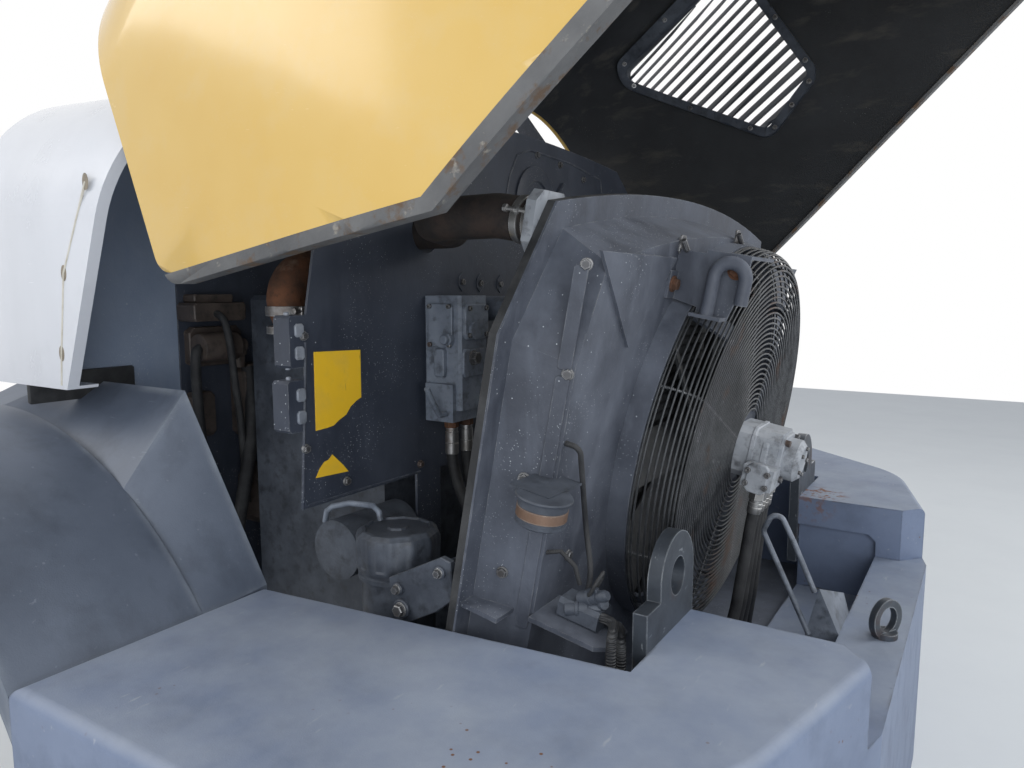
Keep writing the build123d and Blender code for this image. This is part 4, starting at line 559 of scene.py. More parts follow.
def rectangle(width, height, corner=0.0):
    """Outline of a plate, its corners cut by corner."""
    x, y, c = width / 2, height / 2, corner
    if not c:
        return [(-x, -y), (x, -y), (x, y), (-x, y)]
    return [(-x + c, -y), (x - c, -y), (x, -y + c), (x, y - c),
            (x - c, y), (-x + c, y), (-x, y - c), (-x, -y + c)]


def bolt(mesh, point, normal, across=17.0, height=8.0, washer=11.5, spin=0.0):
    """Hexagon head with a chamfered crown on a washer."""
    matrix = facing(point, normal, spin)
    turned(mesh, matrix, [(washer, -1), (washer, 1.6), (washer - 0.6, 2.2)], 24)
    radius = across / math.sqrt(3)
    turned(mesh, matrix, [(radius, 2), (radius, height), (radius * 0.88, height + 1.4)], 6)


def socket_screw(mesh, point, normal, diameter=12.0, height=7.0):
    """Round screw head with a hollow for the key."""
    r = diameter / 2
    matrix = facing(point, normal)
    turned(mesh, matrix, [(r, -2), (r, height - 0.8), (r - 0.8, height), (r * 0.55, height),
                          (r * 0.5, height - 4)], 18)


def piece(name, mesh, finish, body="chassis", where=BAY, smooth=32.0, soften=0.0):
    """Turns the built mesh into a named piece that rides on a body."""
    bmesh.ops.recalc_face_normals(mesh, faces=mesh.faces)
    bmesh.ops.transform(mesh, matrix=where, verts=mesh.verts)
    data = bpy.data.meshes.new(name)
    mesh.to_mesh(data)
    mesh.free()
    for polygon in data.polygons:
        polygon.use_smooth = True
    data.set_sharp_from_angle(angle=math.radians(smooth))
    data.materials.append(finish)
    made = bpy.data.objects.new(name, data)
    bpy.context.scene.collection.objects.link(made)
    if soften:
        edge = made.modifiers.new("soften", "BEVEL")
        edge.width = soften / 1000
        edge.segments = 2
        edge.limit_method = "ANGLE"
        edge.angle_limit = math.radians(40)
    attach(made, body)
    return made


# Directions, in the bay and in the raked cooling unit, whose axes are left, up and ahead

REARWARD = (-1, 0, 0)
LEFTWARD = (0, 1, 0)
RIGHTWARD = (0, -1, 0)
UPWARD = (0, 0, 1)
DOWNWARD = (0, 0, -1)
RAKED_REAR = (0, 0, -1)
RAKED_LEFT = (1, 0, 0)
RAKED_DOWN = (0, -1, 0)


# Fan guard: close rings of wire on eight bars

GUARD_WIRE = 2.3
GUARD_BAR_WIRE = 3.0
GUARD_BARS = 8
GUARD_BAR_BEHIND = 3.5
GUARD_FACE_RADIUS = 387
GUARD_FACE_RINGS = 28
GUARD_PITCH = 11.2
GUARD_DISH = 0.02

# Radius and place ahead of the rings round the shoulder, from the base
GUARD_SHOULDER = [(424, 75), (424, 68), (423.5, 54), (422, 43), (419.5, 33), (416, 24), (411, 16),
                  (405, 9.5), (397, 4.5)]


def guard_profile():
    """Radius and place of each ring from the base round the shoulder to the middle."""
    rings = range(GUARD_FACE_RINGS)
    return GUARD_SHOULDER + [(GUARD_FACE_RADIUS - GUARD_PITCH * i, 1.0 - GUARD_DISH * i) for i in rings]


mesh = bmesh.new()
for radius, ahead in guard_profile():
    swept(mesh, circle(Matrix.Translation((0, 0, ahead)), radius, 112), GUARD_WIRE, 6, cyclic=True)
for k in range(GUARD_BARS):
    turn = Matrix.Rotation(2 * math.pi * (k + 0.5) / GUARD_BARS, 4, "Z")
    line = [turn @ Vector((radius - GUARD_BAR_BEHIND, 0, ahead + GUARD_BAR_BEHIND))
            for radius, ahead in guard_profile()[::2]]
    swept(mesh, line, GUARD_BAR_WIRE, 8)
guard = piece("guard_wires", mesh, WIRE, where=RAKED, smooth=80)
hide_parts("fan_guard")


# Filter: ribbed cap, threaded collar and smooth can

CAP_RIBS = 12
CAP_RIB_SHARE = 0.045
CAP_START = 168

# Radius and height above the foot
FILTER_PROFILE = [(62, 0), (68, 6), (69, 120), (69, 140), (75, 142), (75, 150), (71, 152), (71, 158),
                  (77, 160), (78, 166), (76, 170), (77, 214), (74, 224), (66, 231), (60, 232), (58, 228),
                  (20, 229), (18, 233), (2, 234)]


def cap_ribs(angle, height):
    """Factor by which a rib widens the cap at an angle."""
    if height <= CAP_START:
        return 1.0
    return 1.0 + CAP_RIB_SHARE * max(0.0, math.cos(CAP_RIBS * angle))


mesh = bmesh.new()
turned(mesh, Matrix.Translation((FILTER_AHEAD, FILTER_Y, FILTER_FOOT)), FILTER_PROFILE, 96, cap_ribs)
filter_piece = piece("filter_ribbed", mesh, CAST_DARK, smooth=25)
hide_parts("oil_filter")


# Bonnet pieces whose body bends through a long arc at the kink, where the solids have a crease

BEND_STEPS = 8
SIDE_SLOPE = (BODY_HALF_WIDTH - BODY_TAIL_HALF_WIDTH) / (BODY_KINK - BODY_TAIL)
ROOF_SLOPE = (BODY_ROOF - BODY_TAIL_ROOF) / (BODY_KINK - BODY_TAIL)
SIDE_REACH = BODY_BEND_RADIUS * math.tan(math.atan(SIDE_SLOPE) / 2)
ROOF_REACH = BODY_BEND_RADIUS * math.tan(math.atan(ROOF_SLOPE) / 2) * ROOF_BEND_SHARE


def shoulder_centre(ahead):
    """Centre of the rounded shoulder across the closed bonnet's left half: sideways, height."""
    behind_kink = max(0.0, BODY_KINK - ahead)
    return (BODY_HALF_WIDTH - SIDE_SLOPE * behind_kink - BODY_SHOULDER,
            BODY_ROOF - ROOF_SLOPE * behind_kink - BODY_CROWN - BODY_SHOULDER)


def bend(point):
    """Moves a point of the closed bonnet inward, as far as the arc is from the crease."""
    away = abs(point.x - BODY_KINK)
    if away >= SIDE_REACH:
        return
    centre_y, centre_z = shoulder_centre(point.x)
    turn = math.atan2(max(point.z - centre_z, 0.0), max(abs(point.y) - centre_y, 1e-6))
    in_side = (SIDE_REACH - away) ** 2 / (2 * BODY_BEND_RADIUS)
    in_roof = max(0.0, ROOF_REACH - away) ** 2 / (2 * BODY_BEND_RADIUS)
    point.y -= math.copysign(in_side * math.cos(turn), point.y)
    point.z -= in_roof * math.sin(turn)


def bent_copy(node):
    """Replaces a node of the bonnet with a copy of its mesh, bent over the kink."""
    mesh = bmesh.new()
    mesh.from_mesh(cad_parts[node].data)
    bmesh.ops.transform(mesh, matrix=RAISED.inverted(), verts=mesh.verts)
    bmesh.ops.remove_doubles(mesh, verts=mesh.verts, dist=0.01)
    for k in range(-BEND_STEPS, BEND_STEPS + 1):
        geometry = mesh.verts[:] + mesh.edges[:] + mesh.faces[:]
        place = (BODY_KINK + k * SIDE_REACH / BEND_STEPS, 0, 0)
        bmesh.ops.bisect_plane(mesh, geom=geometry, dist=0.001, plane_co=place, plane_no=(1, 0, 0))
    for vertex in mesh.verts:
        bend(vertex.co)
    made = piece(node + "_bent", mesh, NODE_FINISH[node], "bonnet", RAISED)
    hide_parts(node)


for node_name in NODE_FINISH:
    if node_name.startswith("bonnet_") and node_name != "bonnet_tail":
        bent_copy(node_name)


# Bolts and clips of the cooling unit

SIDE_NORMAL = (1, 0, -0.27)
SIDE_BOLTS = [(653, 362, 128), (653, 195, 128), (664, 16, 168), (667, -150, 178)]
PANEL_BOLTS = [(-520, 330), (-560, 100), (-560, -130), (560, -130)]
CLIPS = [(307, 410), (-18, 440)]

mesh = bmesh.new()
for place in SIDE_BOLTS:
    bolt(mesh, place, SIDE_NORMAL, 15, 6, 10)
for x, y in PANEL_BOLTS:
    bolt(mesh, (x, y, PANEL_AHEAD), RAKED_REAR, 15, 6, 10)
piece("cooler_bolts", mesh, BOLT_STEEL, where=RAKED)

mesh = bmesh.new()
for x, y in CLIPS:
    base = facing((x, y, PANEL_AHEAD), RAKED_REAR)
    slab(mesh, base, rectangle(26, 34, 4), -1, 3, 1)
    swept(mesh, [(x - 22, y - 12, PANEL_AHEAD - 8), (x - 6, y - 12, PANEL_AHEAD - 12),
                 (x + 10, y - 6, PANEL_AHEAD - 14), (x + 22, y + 8, PANEL_AHEAD - 10)], 5.5, 10)
piece("panel_clips", mesh, BOLT_STEEL, where=RAKED)

mesh = bmesh.new()
bolt(mesh, (313, 380, 6), RAKED_LEFT, 21, 10, 17)
bolt(mesh, (330, 338, 111), RAKED_REAR, 19, 9, 15)
piece("bracket_bolts", mesh, RUST, where=RAKED)


# Fold strip on the box's side, in two lengths given by their low and high ends

STRIP_X = 655
STRIP_AHEAD = 134
STRIP_ENDS = [(-236, 190), (200, 360)]

mesh = bmesh.new()
for y0, y1 in STRIP_ENDS:
    outline = rectangle(22, y1 - y0, 3)
    axis_z = Vector(SIDE_NORMAL).normalized()
    axis_y = Vector((0, 1, 0))
    axis_x = axis_y.cross(axis_z)
    turn = Matrix((axis_x, axis_y, axis_z)).transposed().to_4x4()
    slab(mesh, Matrix.Translation((STRIP_X, (y0 + y1) / 2, STRIP_AHEAD)) @ turn, outline, -1, 2.4, 1.2)
piece("box_strip", mesh, SHEET, where=RAKED)


# Motor: steps of its casting, cap screws, port block screws and hose fittings

# Width, height, corner, place ahead, half thickness and edge of each step
MOTOR_STEPS = [(104, 104, 20, -88.5, 5, 2), (118, 118, 17, -30, 5, 2), (117, 84, 10, -58, 7, 3)]
PORT_FACE = (104, -34, -64)
MOTOR_CAP_FACE = -127
CAP_SCREWS = 5
CAP_SCREW_CIRCLE = 30
CAP_SCREW_TURN = 36
MOTOR_HOSES = 4
MOTOR_HOSE_X = 62
MOTOR_HOSE_PITCH = 28
FERRULE = [(13.5, 23), (13.5, 30), (14.6, 31), (14.6, 38), (13.8, 39), (14.6, 40), (14.6, 52), (13.6, 54)]

mesh = bmesh.new()
for width, height, corner, ahead, half, edge in MOTOR_STEPS:
    base = Matrix.Translation((0, 0, ahead)) @ Matrix.Rotation(math.pi, 4, "X")
    slab(mesh, base, rectangle(width, height, corner), -half, half, edge)
slab(mesh, facing(PORT_FACE, RAKED_LEFT), rectangle(64, 44, 8), -3, 5, 2)
piece("motor_plates", mesh, CAST_LIGHT, where=RAKED, soften=1.2)

mesh = bmesh.new()
for x in (-40, 40):
    for y in (-40, 40):
        socket_screw(mesh, (x, y, -93.5), RAKED_REAR, 14, 9)
for ahead in (-84, -44):
    for y in (-48, -20):
        socket_screw(mesh, (109, y, ahead), RAKED_LEFT, 12, 6)
for k in range(CAP_SCREWS):
    angle = math.radians(CAP_SCREW_TURN + 360 / CAP_SCREWS * k)
    place = (CAP_SCREW_CIRCLE * math.cos(angle), CAP_SCREW_CIRCLE * math.sin(angle), MOTOR_CAP_FACE)
    socket_screw(mesh, place, RAKED_REAR, 9, 5)
piece("motor_screws", mesh, BOLT_STEEL, where=RAKED)

mesh = bmesh.new()
for i in range(MOTOR_HOSES):
    x = MOTOR_HOSE_X + MOTOR_HOSE_PITCH * (1 - i)
    down = facing((x, -57, -70), RAKED_DOWN, 0.2 * i)
    turned(mesh, down, [(14.5, -1), (14.5, 3), (13, 4)], 24)
    turned(mesh, down, [(17.5, 4), (17.5, 22), (16, 24)], 6)
    turned(mesh, down, FERRULE, 24)
piece("motor_fittings", mesh, ZINC, where=RAKED)


# Horn: pressed rims and the metal band between them

HORN_MIDDLE = (722, 24, 97)
HORN_TOP_RIM = [(30, -3), (43, -2.5), (44, 0), (43, 2.5), (39, 4), (39, 8)]
HORN_FOOT_RIM = [(30, 36), (38.6, 36.5), (38.6, 41), (34, 44), (20, 45), (18, 42), (2, 42)]
HORN_BAND = [(38, 15), (38.9, 15.5), (38.9, 31), (38, 32)]

mesh = bmesh.new()
horn_axis = facing(HORN_MIDDLE, RAKED_DOWN)
turned(mesh, horn_axis, HORN_TOP_RIM, 48)
turned(mesh, horn_axis, HORN_FOOT_RIM, 48)
piece("horn_rims", mesh, CAST_DARK, where=RAKED)
mesh = bmesh.new()
turned(mesh, horn_axis, HORN_BAND, 48)
piece("horn_band", mesh, BAND_METAL, where=RAKED)


# Plugs and ties on the shelf behind the box

# Place, direction and length of each plug
PLUGS = [((600, -190, 62), (0.2, 0.25, -1), 46), ((622, -182, 58), (-0.3, 0.3, -1), 42),
         ((590, -168, 40), (0.7, 0.25, -0.7), 40), ((612, -160, 44), (0.1, 0.5, -0.9), 38)]
LOOP_WIRE = [(604, -150, 40), (596, -128, 34), (606, -112, 30), (622, -120, 30), (626, -142, 36),
             (618, -160, 44)]
SENSOR_WIRE = [(640, -100, 118), (634, -92, 96), (628, -110, 70), (620, -140, 60)]

mesh = bmesh.new()
for place, aim, length in PLUGS:
    plug = facing(place, aim)
    half = length * 0.5
    turned(mesh, plug, [(9, -18), (12, -16), (12, 0), (14, 1), (14, 6), (12, 7), (12, half), (10, half),
                        (10, length - 6), (7, length)], 14)
    slab(mesh, plug @ Matrix.Translation((0, 11, 0)), rectangle(10, 6), 0, length * 0.6, 1)
piece("shelf_plugs", mesh, CAST_DARK, where=RAKED)
mesh = bmesh.new()
swept(mesh, LOOP_WIRE, 3, 8)
swept(mesh, SENSOR_WIRE, 4, 8)
piece("shelf_wires", mesh, HOSE, where=RAKED, smooth=70)


# Clamps on the charge tube, with their bolts

TUBE_LEFT = 590
TUBE_UP = 411
TUBE_CLAMPS_AHEAD = [262, 284]
TUBE_CLAMP = [(37.5, -7), (39.5, -6.5), (40.2, 0), (39.5, 6.5), (37.5, 7)]

mesh = bmesh.new()
for ahead in TUBE_CLAMPS_AHEAD:
    turned(mesh, Matrix.Translation((TUBE_LEFT, TUBE_UP, ahead)), TUBE_CLAMP, 48)
    turned(mesh, facing((628, 425, ahead - 12), UPWARD), [(4, 0), (4, 24), (6.5, 25), (6.5, 31)], 8)
piece("tube_clamps", mesh, ZINC, where=RAKED)


# Wide clamp and sleeve on the exhaust elbow

ELBOW_AHEAD = 763
ELBOW_Y = 604
CLAMP_HEIGHT = 300
SLEEVE_HEIGHT = 262
WIDE_CLAMP = [(40.5, -10), (42.5, -9.5), (43.4, 0), (42.5, 9.5), (40.5, 10)]
SLEEVE = [(40.5, -8), (42, -7), (42, 7), (40.5, 8)]

mesh = bmesh.new()
turned(mesh, Matrix.Translation((ELBOW_AHEAD, ELBOW_Y, CLAMP_HEIGHT)), WIDE_CLAMP, 48)
slab(mesh, facing((724, ELBOW_Y, CLAMP_HEIGHT), REARWARD), rectangle(14, 20, 2), -3, 10, 2)
turned(mesh, facing((718, 590, CLAMP_HEIGHT), LEFTWARD), [(4, -10), (4, 30), (7, 31), (7, 38), (4, 40)], 8)
turned(mesh, Matrix.Translation((ELBOW_AHEAD, ELBOW_Y, SLEEVE_HEIGHT)), SLEEVE, 48)
piece("exhaust_clamp", mesh, ZINC)


# Valve block: covers, plug, screws, and the nuts and crimped ferrules of its hoses

# Place, direction, width, height, corner and thickness of each cover
VALVE_COVERS = [((479, 350, 276), REARWARD, 84, 74, 10, 9), ((479, 350, 190), REARWARD, 90, 60, 8, 6),
                ((527, 400, 268), LEFTWARD, 64, 92, 8, 7), ((527, 400, 190), LEFTWARD, 26, 60, 4, 12)]
VALVE_PLUG = [(13, -2), (13, 14), (10, 16), (10, 24), (8, 26)]
VALVE_HOSES = [(519, 326), (523, 374)]
VALVE_FOOT = 66
HOSE_NUT = [(15.5, -1), (15.5, 16), (14, 18)]
HOSE_FERRULE = [(13, 18), (13, 26), (14.4, 27), (14.4, 50), (13.6, 51), (14.4, 52), (14.4, 74), (13, 76)]

mesh = bmesh.new()
for place, aim, width, height, corner, thickness in VALVE_COVERS:
    slab(mesh, facing(place, aim), rectangle(width, height, corner), -3, thickness, 2)
turned(mesh, facing((505, 400, 240), LEFTWARD), VALVE_PLUG, 20)
piece("valve_covers", mesh, CAST_GREY, soften=1.5)
mesh = bmesh.new()
for y in (320, 380):
    for z in (248, 304):
        socket_screw(mesh, (470, y, z), REARWARD, 11, 6)
for x, z in ((502, 308), (552, 308), (502, 228), (552, 228)):
    socket_screw(mesh, (x, 407, z), LEFTWARD, 10, 6)
bolt(mesh, (473, 362, 200), REARWARD, 24, 12, 16)
piece("valve_screws", mesh, BOLT_STEEL)
mesh = bmesh.new()
nuts = bmesh.new()
for x, y in VALVE_HOSES:
    down = facing((x, y, VALVE_FOOT), DOWNWARD, 0.4)
    turned(nuts, down, HOSE_NUT, 6)
    turned(mesh, down, HOSE_FERRULE, 24)
piece("hose_ferrules", mesh, ZINC)
piece("hose_nuts", nuts, RUST)


# Bolts, seam, hatch, cover and edge of the partition, each by its place sideways and its height

PARTITION_BOLTS = [(735, 262), (738, 60), (650, 560), (600, 620), (384, 105), (159, 670), (-70, 687),
                   (-192, 678), (-330, 655), (262, 360), (191, 358), (106, 356), (640, -20), (420, -30)]
PARTITION_SEAM = [(81, 559), (60, 620), (26, 673), (-36, 694), (-250, 690), (-442, 668), (-470, 560)]
PARTITION_EDGE = [(730, 250), (748, -30), (740, -44), (420, -46)]
PARTITION_PADS = [(262, 360), (191, 358), (106, 356)]
ROUND_COVER = [(96, -1), (96, 6), (88, 9), (60, 9), (56, 5), (2, 5)]

mesh = bmesh.new()
for y, z in PARTITION_BOLTS:
    bolt(mesh, (PARTITION_AHEAD, y, z), REARWARD, 13, 6, 9, spin=0.3 * y)
piece("partition_bolts", mesh, BOLT_STEEL)

mesh = bmesh.new()
swept(mesh, [(PARTITION_AHEAD, y, z) for y, z in PARTITION_SEAM], 3.0, 8)
slab(mesh, facing((PARTITION_AHEAD, -200, 600), REARWARD), rectangle(60, 60, 26), -1, 14, 4)
turned(mesh, facing((PARTITION_AHEAD, -60, 560), REARWARD), ROUND_COVER, 48)
for y, z in PARTITION_PADS:
    slab(mesh, facing((PARTITION_AHEAD, y, z), REARWARD), rectangle(26, 44, 12), -1, 2.5, 1)
swept(mesh, [(PARTITION_AHEAD, y, z) for y, z in PARTITION_EDGE], 2.4, 8)
piece("partition_forms", mesh, DARK_SHEET)


# Blank yellow plates on the partition: one with a torn corner, one torn remnant

PLATE_EDGE_Y = 712
PLATE_NARROWING = 0.96
UPPER_PLATE = [(712, 232), (589, 228), (590, 136), (604, 131), (620, 122), (633, 108), (653, 100),
               (668, 92), (684, 90), (713, 89)]
LOWER_PLATE = [(717, 2), (706, 18), (694, 28), (683, 30), (673, 38), (655, 22), (646, 14), (631, -2)]

mesh = bmesh.new()
for outline in (UPPER_PLATE, LOWER_PLATE):
    outline = [(PLATE_EDGE_Y + (y - PLATE_EDGE_Y) * PLATE_NARROWING, z) for y, z in outline]
    back_ring = [(PARTITION_AHEAD + 0.2, y, z) for y, z in outline]
    front_ring = [(PARTITION_AHEAD - 0.9, y, z) for y, z in outline]
    loops(mesh, [back_ring, front_ring])
piece("blank_plates", mesh, PLATE)


# Latches: two pads and a hinge pin each

LATCH_FEET = [206, 92]

mesh = bmesh.new()
for foot in LATCH_FEET:
    for z in (foot + 26, foot + 66):
        slab(mesh, facing((PARTITION_AHEAD, 745, z), REARWARD), rectangle(20, 24, 4), -1, 4, 1.5)
    pin = facing((PARTITION_AHEAD + 22, 752, foot - 4), UPWARD)
    turned(mesh, pin, [(5, 0), (5, 100), (3, 102)], 12)
piece("latch_parts", mesh, LIGHT_GREY, soften=0.8)


# Filter strap and the bolts of the upright plate

STRAP = [(678, 600, -128), (672, 600, -104), (655, 600, -92), (607, 600, -78), (545, 600, -74),
         (530, 600, -84), (527, 600, -100)]
UPRIGHT_Y = 520
UPRIGHT_BOLTS = [(530, -262), (515, -300), (400, -190), (380, -300)]

mesh = bmesh.new()
swept(mesh, STRAP, 6, 10)
piece("filter_strap", mesh, CAST_GREY, smooth=70)
mesh = bmesh.new()
for x, z in UPRIGHT_BOLTS:
    bolt(mesh, (x, UPRIGHT_Y, z), LEFTWARD, 19, 9, 14)
piece("upright_bolts", mesh, BOLT_STEEL)


# Grimy machinery in front of the bulkhead: a dark sheet of painted shade, blocks, cylinder, valve, bolts
# and hoses

# Place sideways and height, width, height, corner, depth and edge of each block
BAY_BLOCKS = [(487, 290, 146, 44, 6, 70, 3), (487, 322, 110, 20, 4, 46, 3), (470, 205, 150, 96, 14, 24, 3)]
BAY_LOW_BLOCKS = [(360, 60, 120, 190, 18, 60, 5), (520, 40, 64, 110, 10, 34, 4),
                  (300, -190, 220, 150, 24, 110, 8)]
BAY_CYLINDER = [(20, 0), (33, 3), (35, 10), (35, 104), (31, 110), (18, 114), (18, 132), (12, 134)]
BAY_VALVE = [(16, 0), (16, 30), (21, 32), (21, 60), (14, 64)]
BAY_STAND = 52
BAY_BOLTS = [(548, 290), (426, 290), (536, 238), (404, 238), (536, 172), (404, 172), (330, 120), (390, 0)]

# Radius and points of each hose
BAY_HOSES = [
    (17, [(1150, 402, 150), (1146, 400, 96), (1132, 410, 20), (1120, 436, -90), (1130, 470, -260),
          (1160, 480, -420)]),
    (12, [(1146, 540, 205), (1130, 562, 190), (1128, 566, 120), (1140, 552, 0), (1150, 536, -140),
          (1160, 520, -360)]),
    (9, [(1132, 500, 286), (1104, 500, 270), (1098, 492, 220), (1108, 474, 120), (1124, 450, 10),
         (1150, 420, -200)]),
    (22, [(1140, 360, 30), (1096, 356, 10), (1080, 340, -60), (1090, 318, -130)])]


def bay_block(mesh, y, z, width, height, corner, depth, edge):
    """Block that stands out rearward from the bulkhead."""
    base = facing((BULKHEAD_AHEAD, y, z), REARWARD)
    slab(mesh, base, rectangle(width, height, corner), 2, depth, edge)


# Dark sheet over the bulkhead's face: painted shade of the engine bay, laid over the lighter bulkhead
# paint
mesh = bmesh.new()
slab(mesh, facing((BULKHEAD_AHEAD, 30, 70), REARWARD), rectangle(1060, 1120, 40), -1, 3, 1)
piece("bay_shade_sheet", mesh, DARK_SHEET)

mesh = bmesh.new()
for block in BAY_BLOCKS:
    bay_block(mesh, *block)
turned(mesh, facing((BULKHEAD_AHEAD - BAY_STAND, 545, 205), RIGHTWARD), BAY_CYLINDER, 28)
turned(mesh, facing((BULKHEAD_AHEAD - BAY_STAND, 430, 150), UPWARD), BAY_VALVE, 20)
for block in BAY_LOW_BLOCKS:
    bay_block(mesh, *block)
for y, z in BAY_BOLTS:
    bolt(mesh, (BULKHEAD_AHEAD - 3, y, z), REARWARD, 15, 7, 10, spin=0.1 * y)
piece("bay_machinery", mesh, GRIMY, soften=1.5)

mesh = bmesh.new()
for radius, route in BAY_HOSES:
    swept(mesh, curved(route), radius, 12)
piece("bay_hoses", mesh, HOSE, smooth=70)


# Rubber seal under each foot of the bulkhead

mesh = bmesh.new()
for side in (1, -1):
    slab(mesh, facing((BULKHEAD_AHEAD, side * 790, 142), REARWARD), rectangle(226, 62, 4), -1, 7, 2)
piece("bulkhead_foot_seal", mesh, SEAL)


# Bracket plate beside the filter, with its bosses and bolts

BRACKET_BACK = 692
BRACKET_FACE = 704
BOSS_FACE = 710
BRACKET = [(416, -158), (406, -227), (386, -237), (310, -196), (276, -168), (280, -104), (300, -99)]

# Place ahead and height, boss radius, and the bolt's width, height and washer
BRACKET_BOSSES = [(384, -206, 17, 19, 10, 13), (392, -172, 11, 13, 7, 9), (300, -124, 11, 13, 7, 9)]

mesh = bmesh.new()
bolts = bmesh.new()
upright = Matrix(((1, 0, 0, 0), (0, 0, 1, 0), (0, 1, 0, 0), (0, 0, 0, 1)))
slab(mesh, upright, BRACKET, BRACKET_BACK, BRACKET_FACE, 2)
for x, z, radius, across, height, washer in BRACKET_BOSSES:
    boss = facing((x, BRACKET_FACE, z), LEFTWARD)
    turned(mesh, boss, [(radius, -1), (radius, 5), (radius - 2, 7)], 24)
    bolt(bolts, (x, BOSS_FACE, z), LEFTWARD, across, height, washer)
piece("filter_bracket", mesh, CAST_DARK)
piece("filter_bracket_bolts", bolts, BOLT_STEEL)


# Oval slots along the cowl's seam, by their place ahead and height

SLOTS = [(930, 534), (1024, 374), (1052, 222)]
SEAM_FOOT = (1060, 160)
SLOT_HALF_WIDTH = 9
SLOT_HALF_HEIGHT = 15
SLOT_SIDES = 28
SEAM_RADIUS = 2.2

mesh = bmesh.new()
seams = bmesh.new()
angles = [2 * math.pi * k / SLOT_SIDES for k in range(SLOT_SIDES)]
oval = [(SLOT_HALF_WIDTH * math.cos(a), SLOT_HALF_HEIGHT * math.sin(a)) for a in angles]
for side in (1, -1):
    y = side * BODY_HALF_WIDTH
    for x, z in SLOTS:
        place = Matrix(((1, 0, 0, x), (0, 0, side, y), (0, 1, 0, z), (0, 0, 0, 1)))
        slab(mesh, place, oval, -0.5, 0.5)
    for (x0, z0), (x1, z1) in zip(SLOTS, SLOTS[1:] + [SEAM_FOOT]):
        swept(seams, [(x0, y, z0), (x1, y, z1)], SEAM_RADIUS, 8)
piece("cowl_slots", mesh, SLOT_SHADE)
piece("cowl_seam_line", seams, CREAM_LINE)


# Screws round the louvred windows, on the inner face

SCREW_SHARES = [0.12, 0.5, 0.88]


def lining_face(ahead, height):
    """Half width of the lining's face and its inward normal, on the closed bonnet's left side."""
    radius = BODY_SHOULDER - LINING_DEPTH
    centre_y, centre_z = shoulder_centre(ahead)
    rise = max(0.0, height - centre_z)
    level = math.sqrt(radius ** 2 - rise ** 2)
    return centre_y + level, (-SIDE_SLOPE, -level / radius, -rise / radius)


mesh = bmesh.new()
centre = sum((Vector(corner) for corner in WINDOW), Vector((0, 0))) / len(WINDOW)
for side in (1, -1):
    for start, end in zip(WINDOW, WINDOW[1:] + WINDOW[:1]):
        for share in SCREW_SHARES:
            edge = Vector(start).lerp(Vector(end), share)
            place = edge + (edge - centre).normalized() * SCREW_MARGIN
            y, normal = lining_face(place.x, place.y)
            point = Vector((place.x, side * y, place.y))
            bend(point)
            bolt(mesh, point, (normal[0], side * normal[1], normal[2]), 12, 5, 8)
piece("window_screws", mesh, BOLT_STEEL, "bonnet", RAISED)


# Camera, light and floor

camera_data = bpy.data.cameras.new("camera")
camera_data.sensor_width = 36.0
camera_data.lens = CAMERA_LENS
camera_data.clip_start = 0.02
camera = bpy.data.objects.new("camera", camera_data)
camera.location = CAMERA_PLACE
aim = Vector(CAMERA_LOOK).to_track_quat("-Z", "Y").to_matrix().to_4x4()
camera.rotation_euler = (aim @ Matrix.Rotation(CAMERA_ROLL, 4, "Z")).to_euler()
bpy.context.scene.collection.objects.link(camera)
bpy.context.scene.camera = camera


def area_light(name, place, target, size, energy, colour):
    """Square lamp that points at a target."""
    data = bpy.data.lights.new(name, "AREA")
    data.shape = "SQUARE"
    data.size = size
    data.energy = energy
    data.color = colour
    lamp = bpy.data.objects.new(name, data)
    lamp.location = place
    lamp.rotation_euler = (Vector(target) - Vector(place)).to_track_quat("-Z", "Y").to_euler()
    bpy.context.scene.collection.objects.link(lamp)


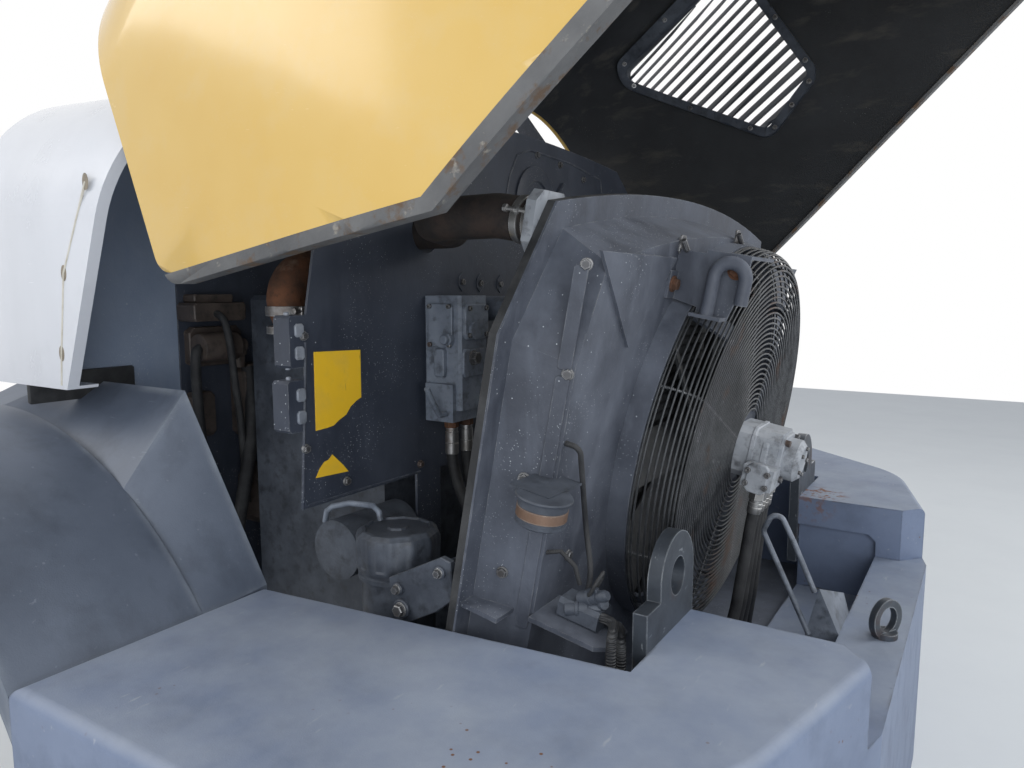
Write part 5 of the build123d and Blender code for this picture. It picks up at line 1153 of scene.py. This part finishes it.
area_light("key_light", (2.2, 3.6, 4.2), (-1.1, 0.2, 0.5), 3.0, 105, (1.0, 0.97, 0.92))
area_light("rear_light", (-4.2, -1.6, 3.4), (-1.4, 0, 0.6), 3.0, 80, (0.95, 0.98, 1.0))
area_light("fill_light", (-3.4, 3.4, 1.3), (-1.0, 0, 0.6), 3.0, 72, (0.92, 0.96, 1.0))


def studio_world():
    """Soft even light; the camera, gloss and glass see white."""
    world = bpy.data.worlds.new("studio")
    world.use_nodes = True
    nodes = world.node_tree.nodes
    links = world.node_tree.links
    light = nodes["Background"]
    light.inputs["Color"].default_value = (0.80, 0.88, 1.0, 1.0)
    light.inputs["Strength"].default_value = 0.5
    white = nodes.new("ShaderNodeBackground")
    white.inputs["Color"].default_value = (1.0, 1.0, 1.0, 1.0)
    white.inputs["Strength"].default_value = 1.0
    path = nodes.new("ShaderNodeLightPath")
    seen = path.outputs["Is Camera Ray"]
    for output in ("Is Glossy Ray", "Is Transmission Ray"):
        both = nodes.new("ShaderNodeMath")
        both.operation = "MAXIMUM"
        links.new(seen, both.inputs[0])
        links.new(path.outputs[output], both.inputs[1])
        seen = both.outputs["Value"]
    mix = nodes.new("ShaderNodeMixShader")
    links.new(seen, mix.inputs["Fac"])
    links.new(light.outputs["Background"], mix.inputs[1])
    links.new(white.outputs["Background"], mix.inputs[2])
    links.new(mix.outputs["Shader"], nodes["World Output"].inputs["Surface"])
    bpy.context.scene.world = world


studio_world()
bpy.context.scene.view_settings.view_transform = "Standard"

floor_finish = Finish("floor", srgb(232, 232, 230), 0.7)
floor_finish.layer(floor_finish.span(floor_finish.noise(3.0, 5), 0.4, 0.7, 0, 0.4), srgb(224, 224, 223))
mesh = bmesh.new()
slab(mesh, Matrix.Translation((0, 0, CAD_BOX[0][2] * 1000 - 0.5)), rectangle(16000, 16000), -20, 0)
data = bpy.data.meshes.new("floor")
bmesh.ops.recalc_face_normals(mesh, faces=mesh.faces)
bmesh.ops.transform(mesh, matrix=MM, verts=mesh.verts)
mesh.to_mesh(data)
mesh.free()
data.materials.append(floor_finish.done())
floor = bpy.data.objects.new("floor", data)
bpy.context.scene.collection.objects.link(floor)
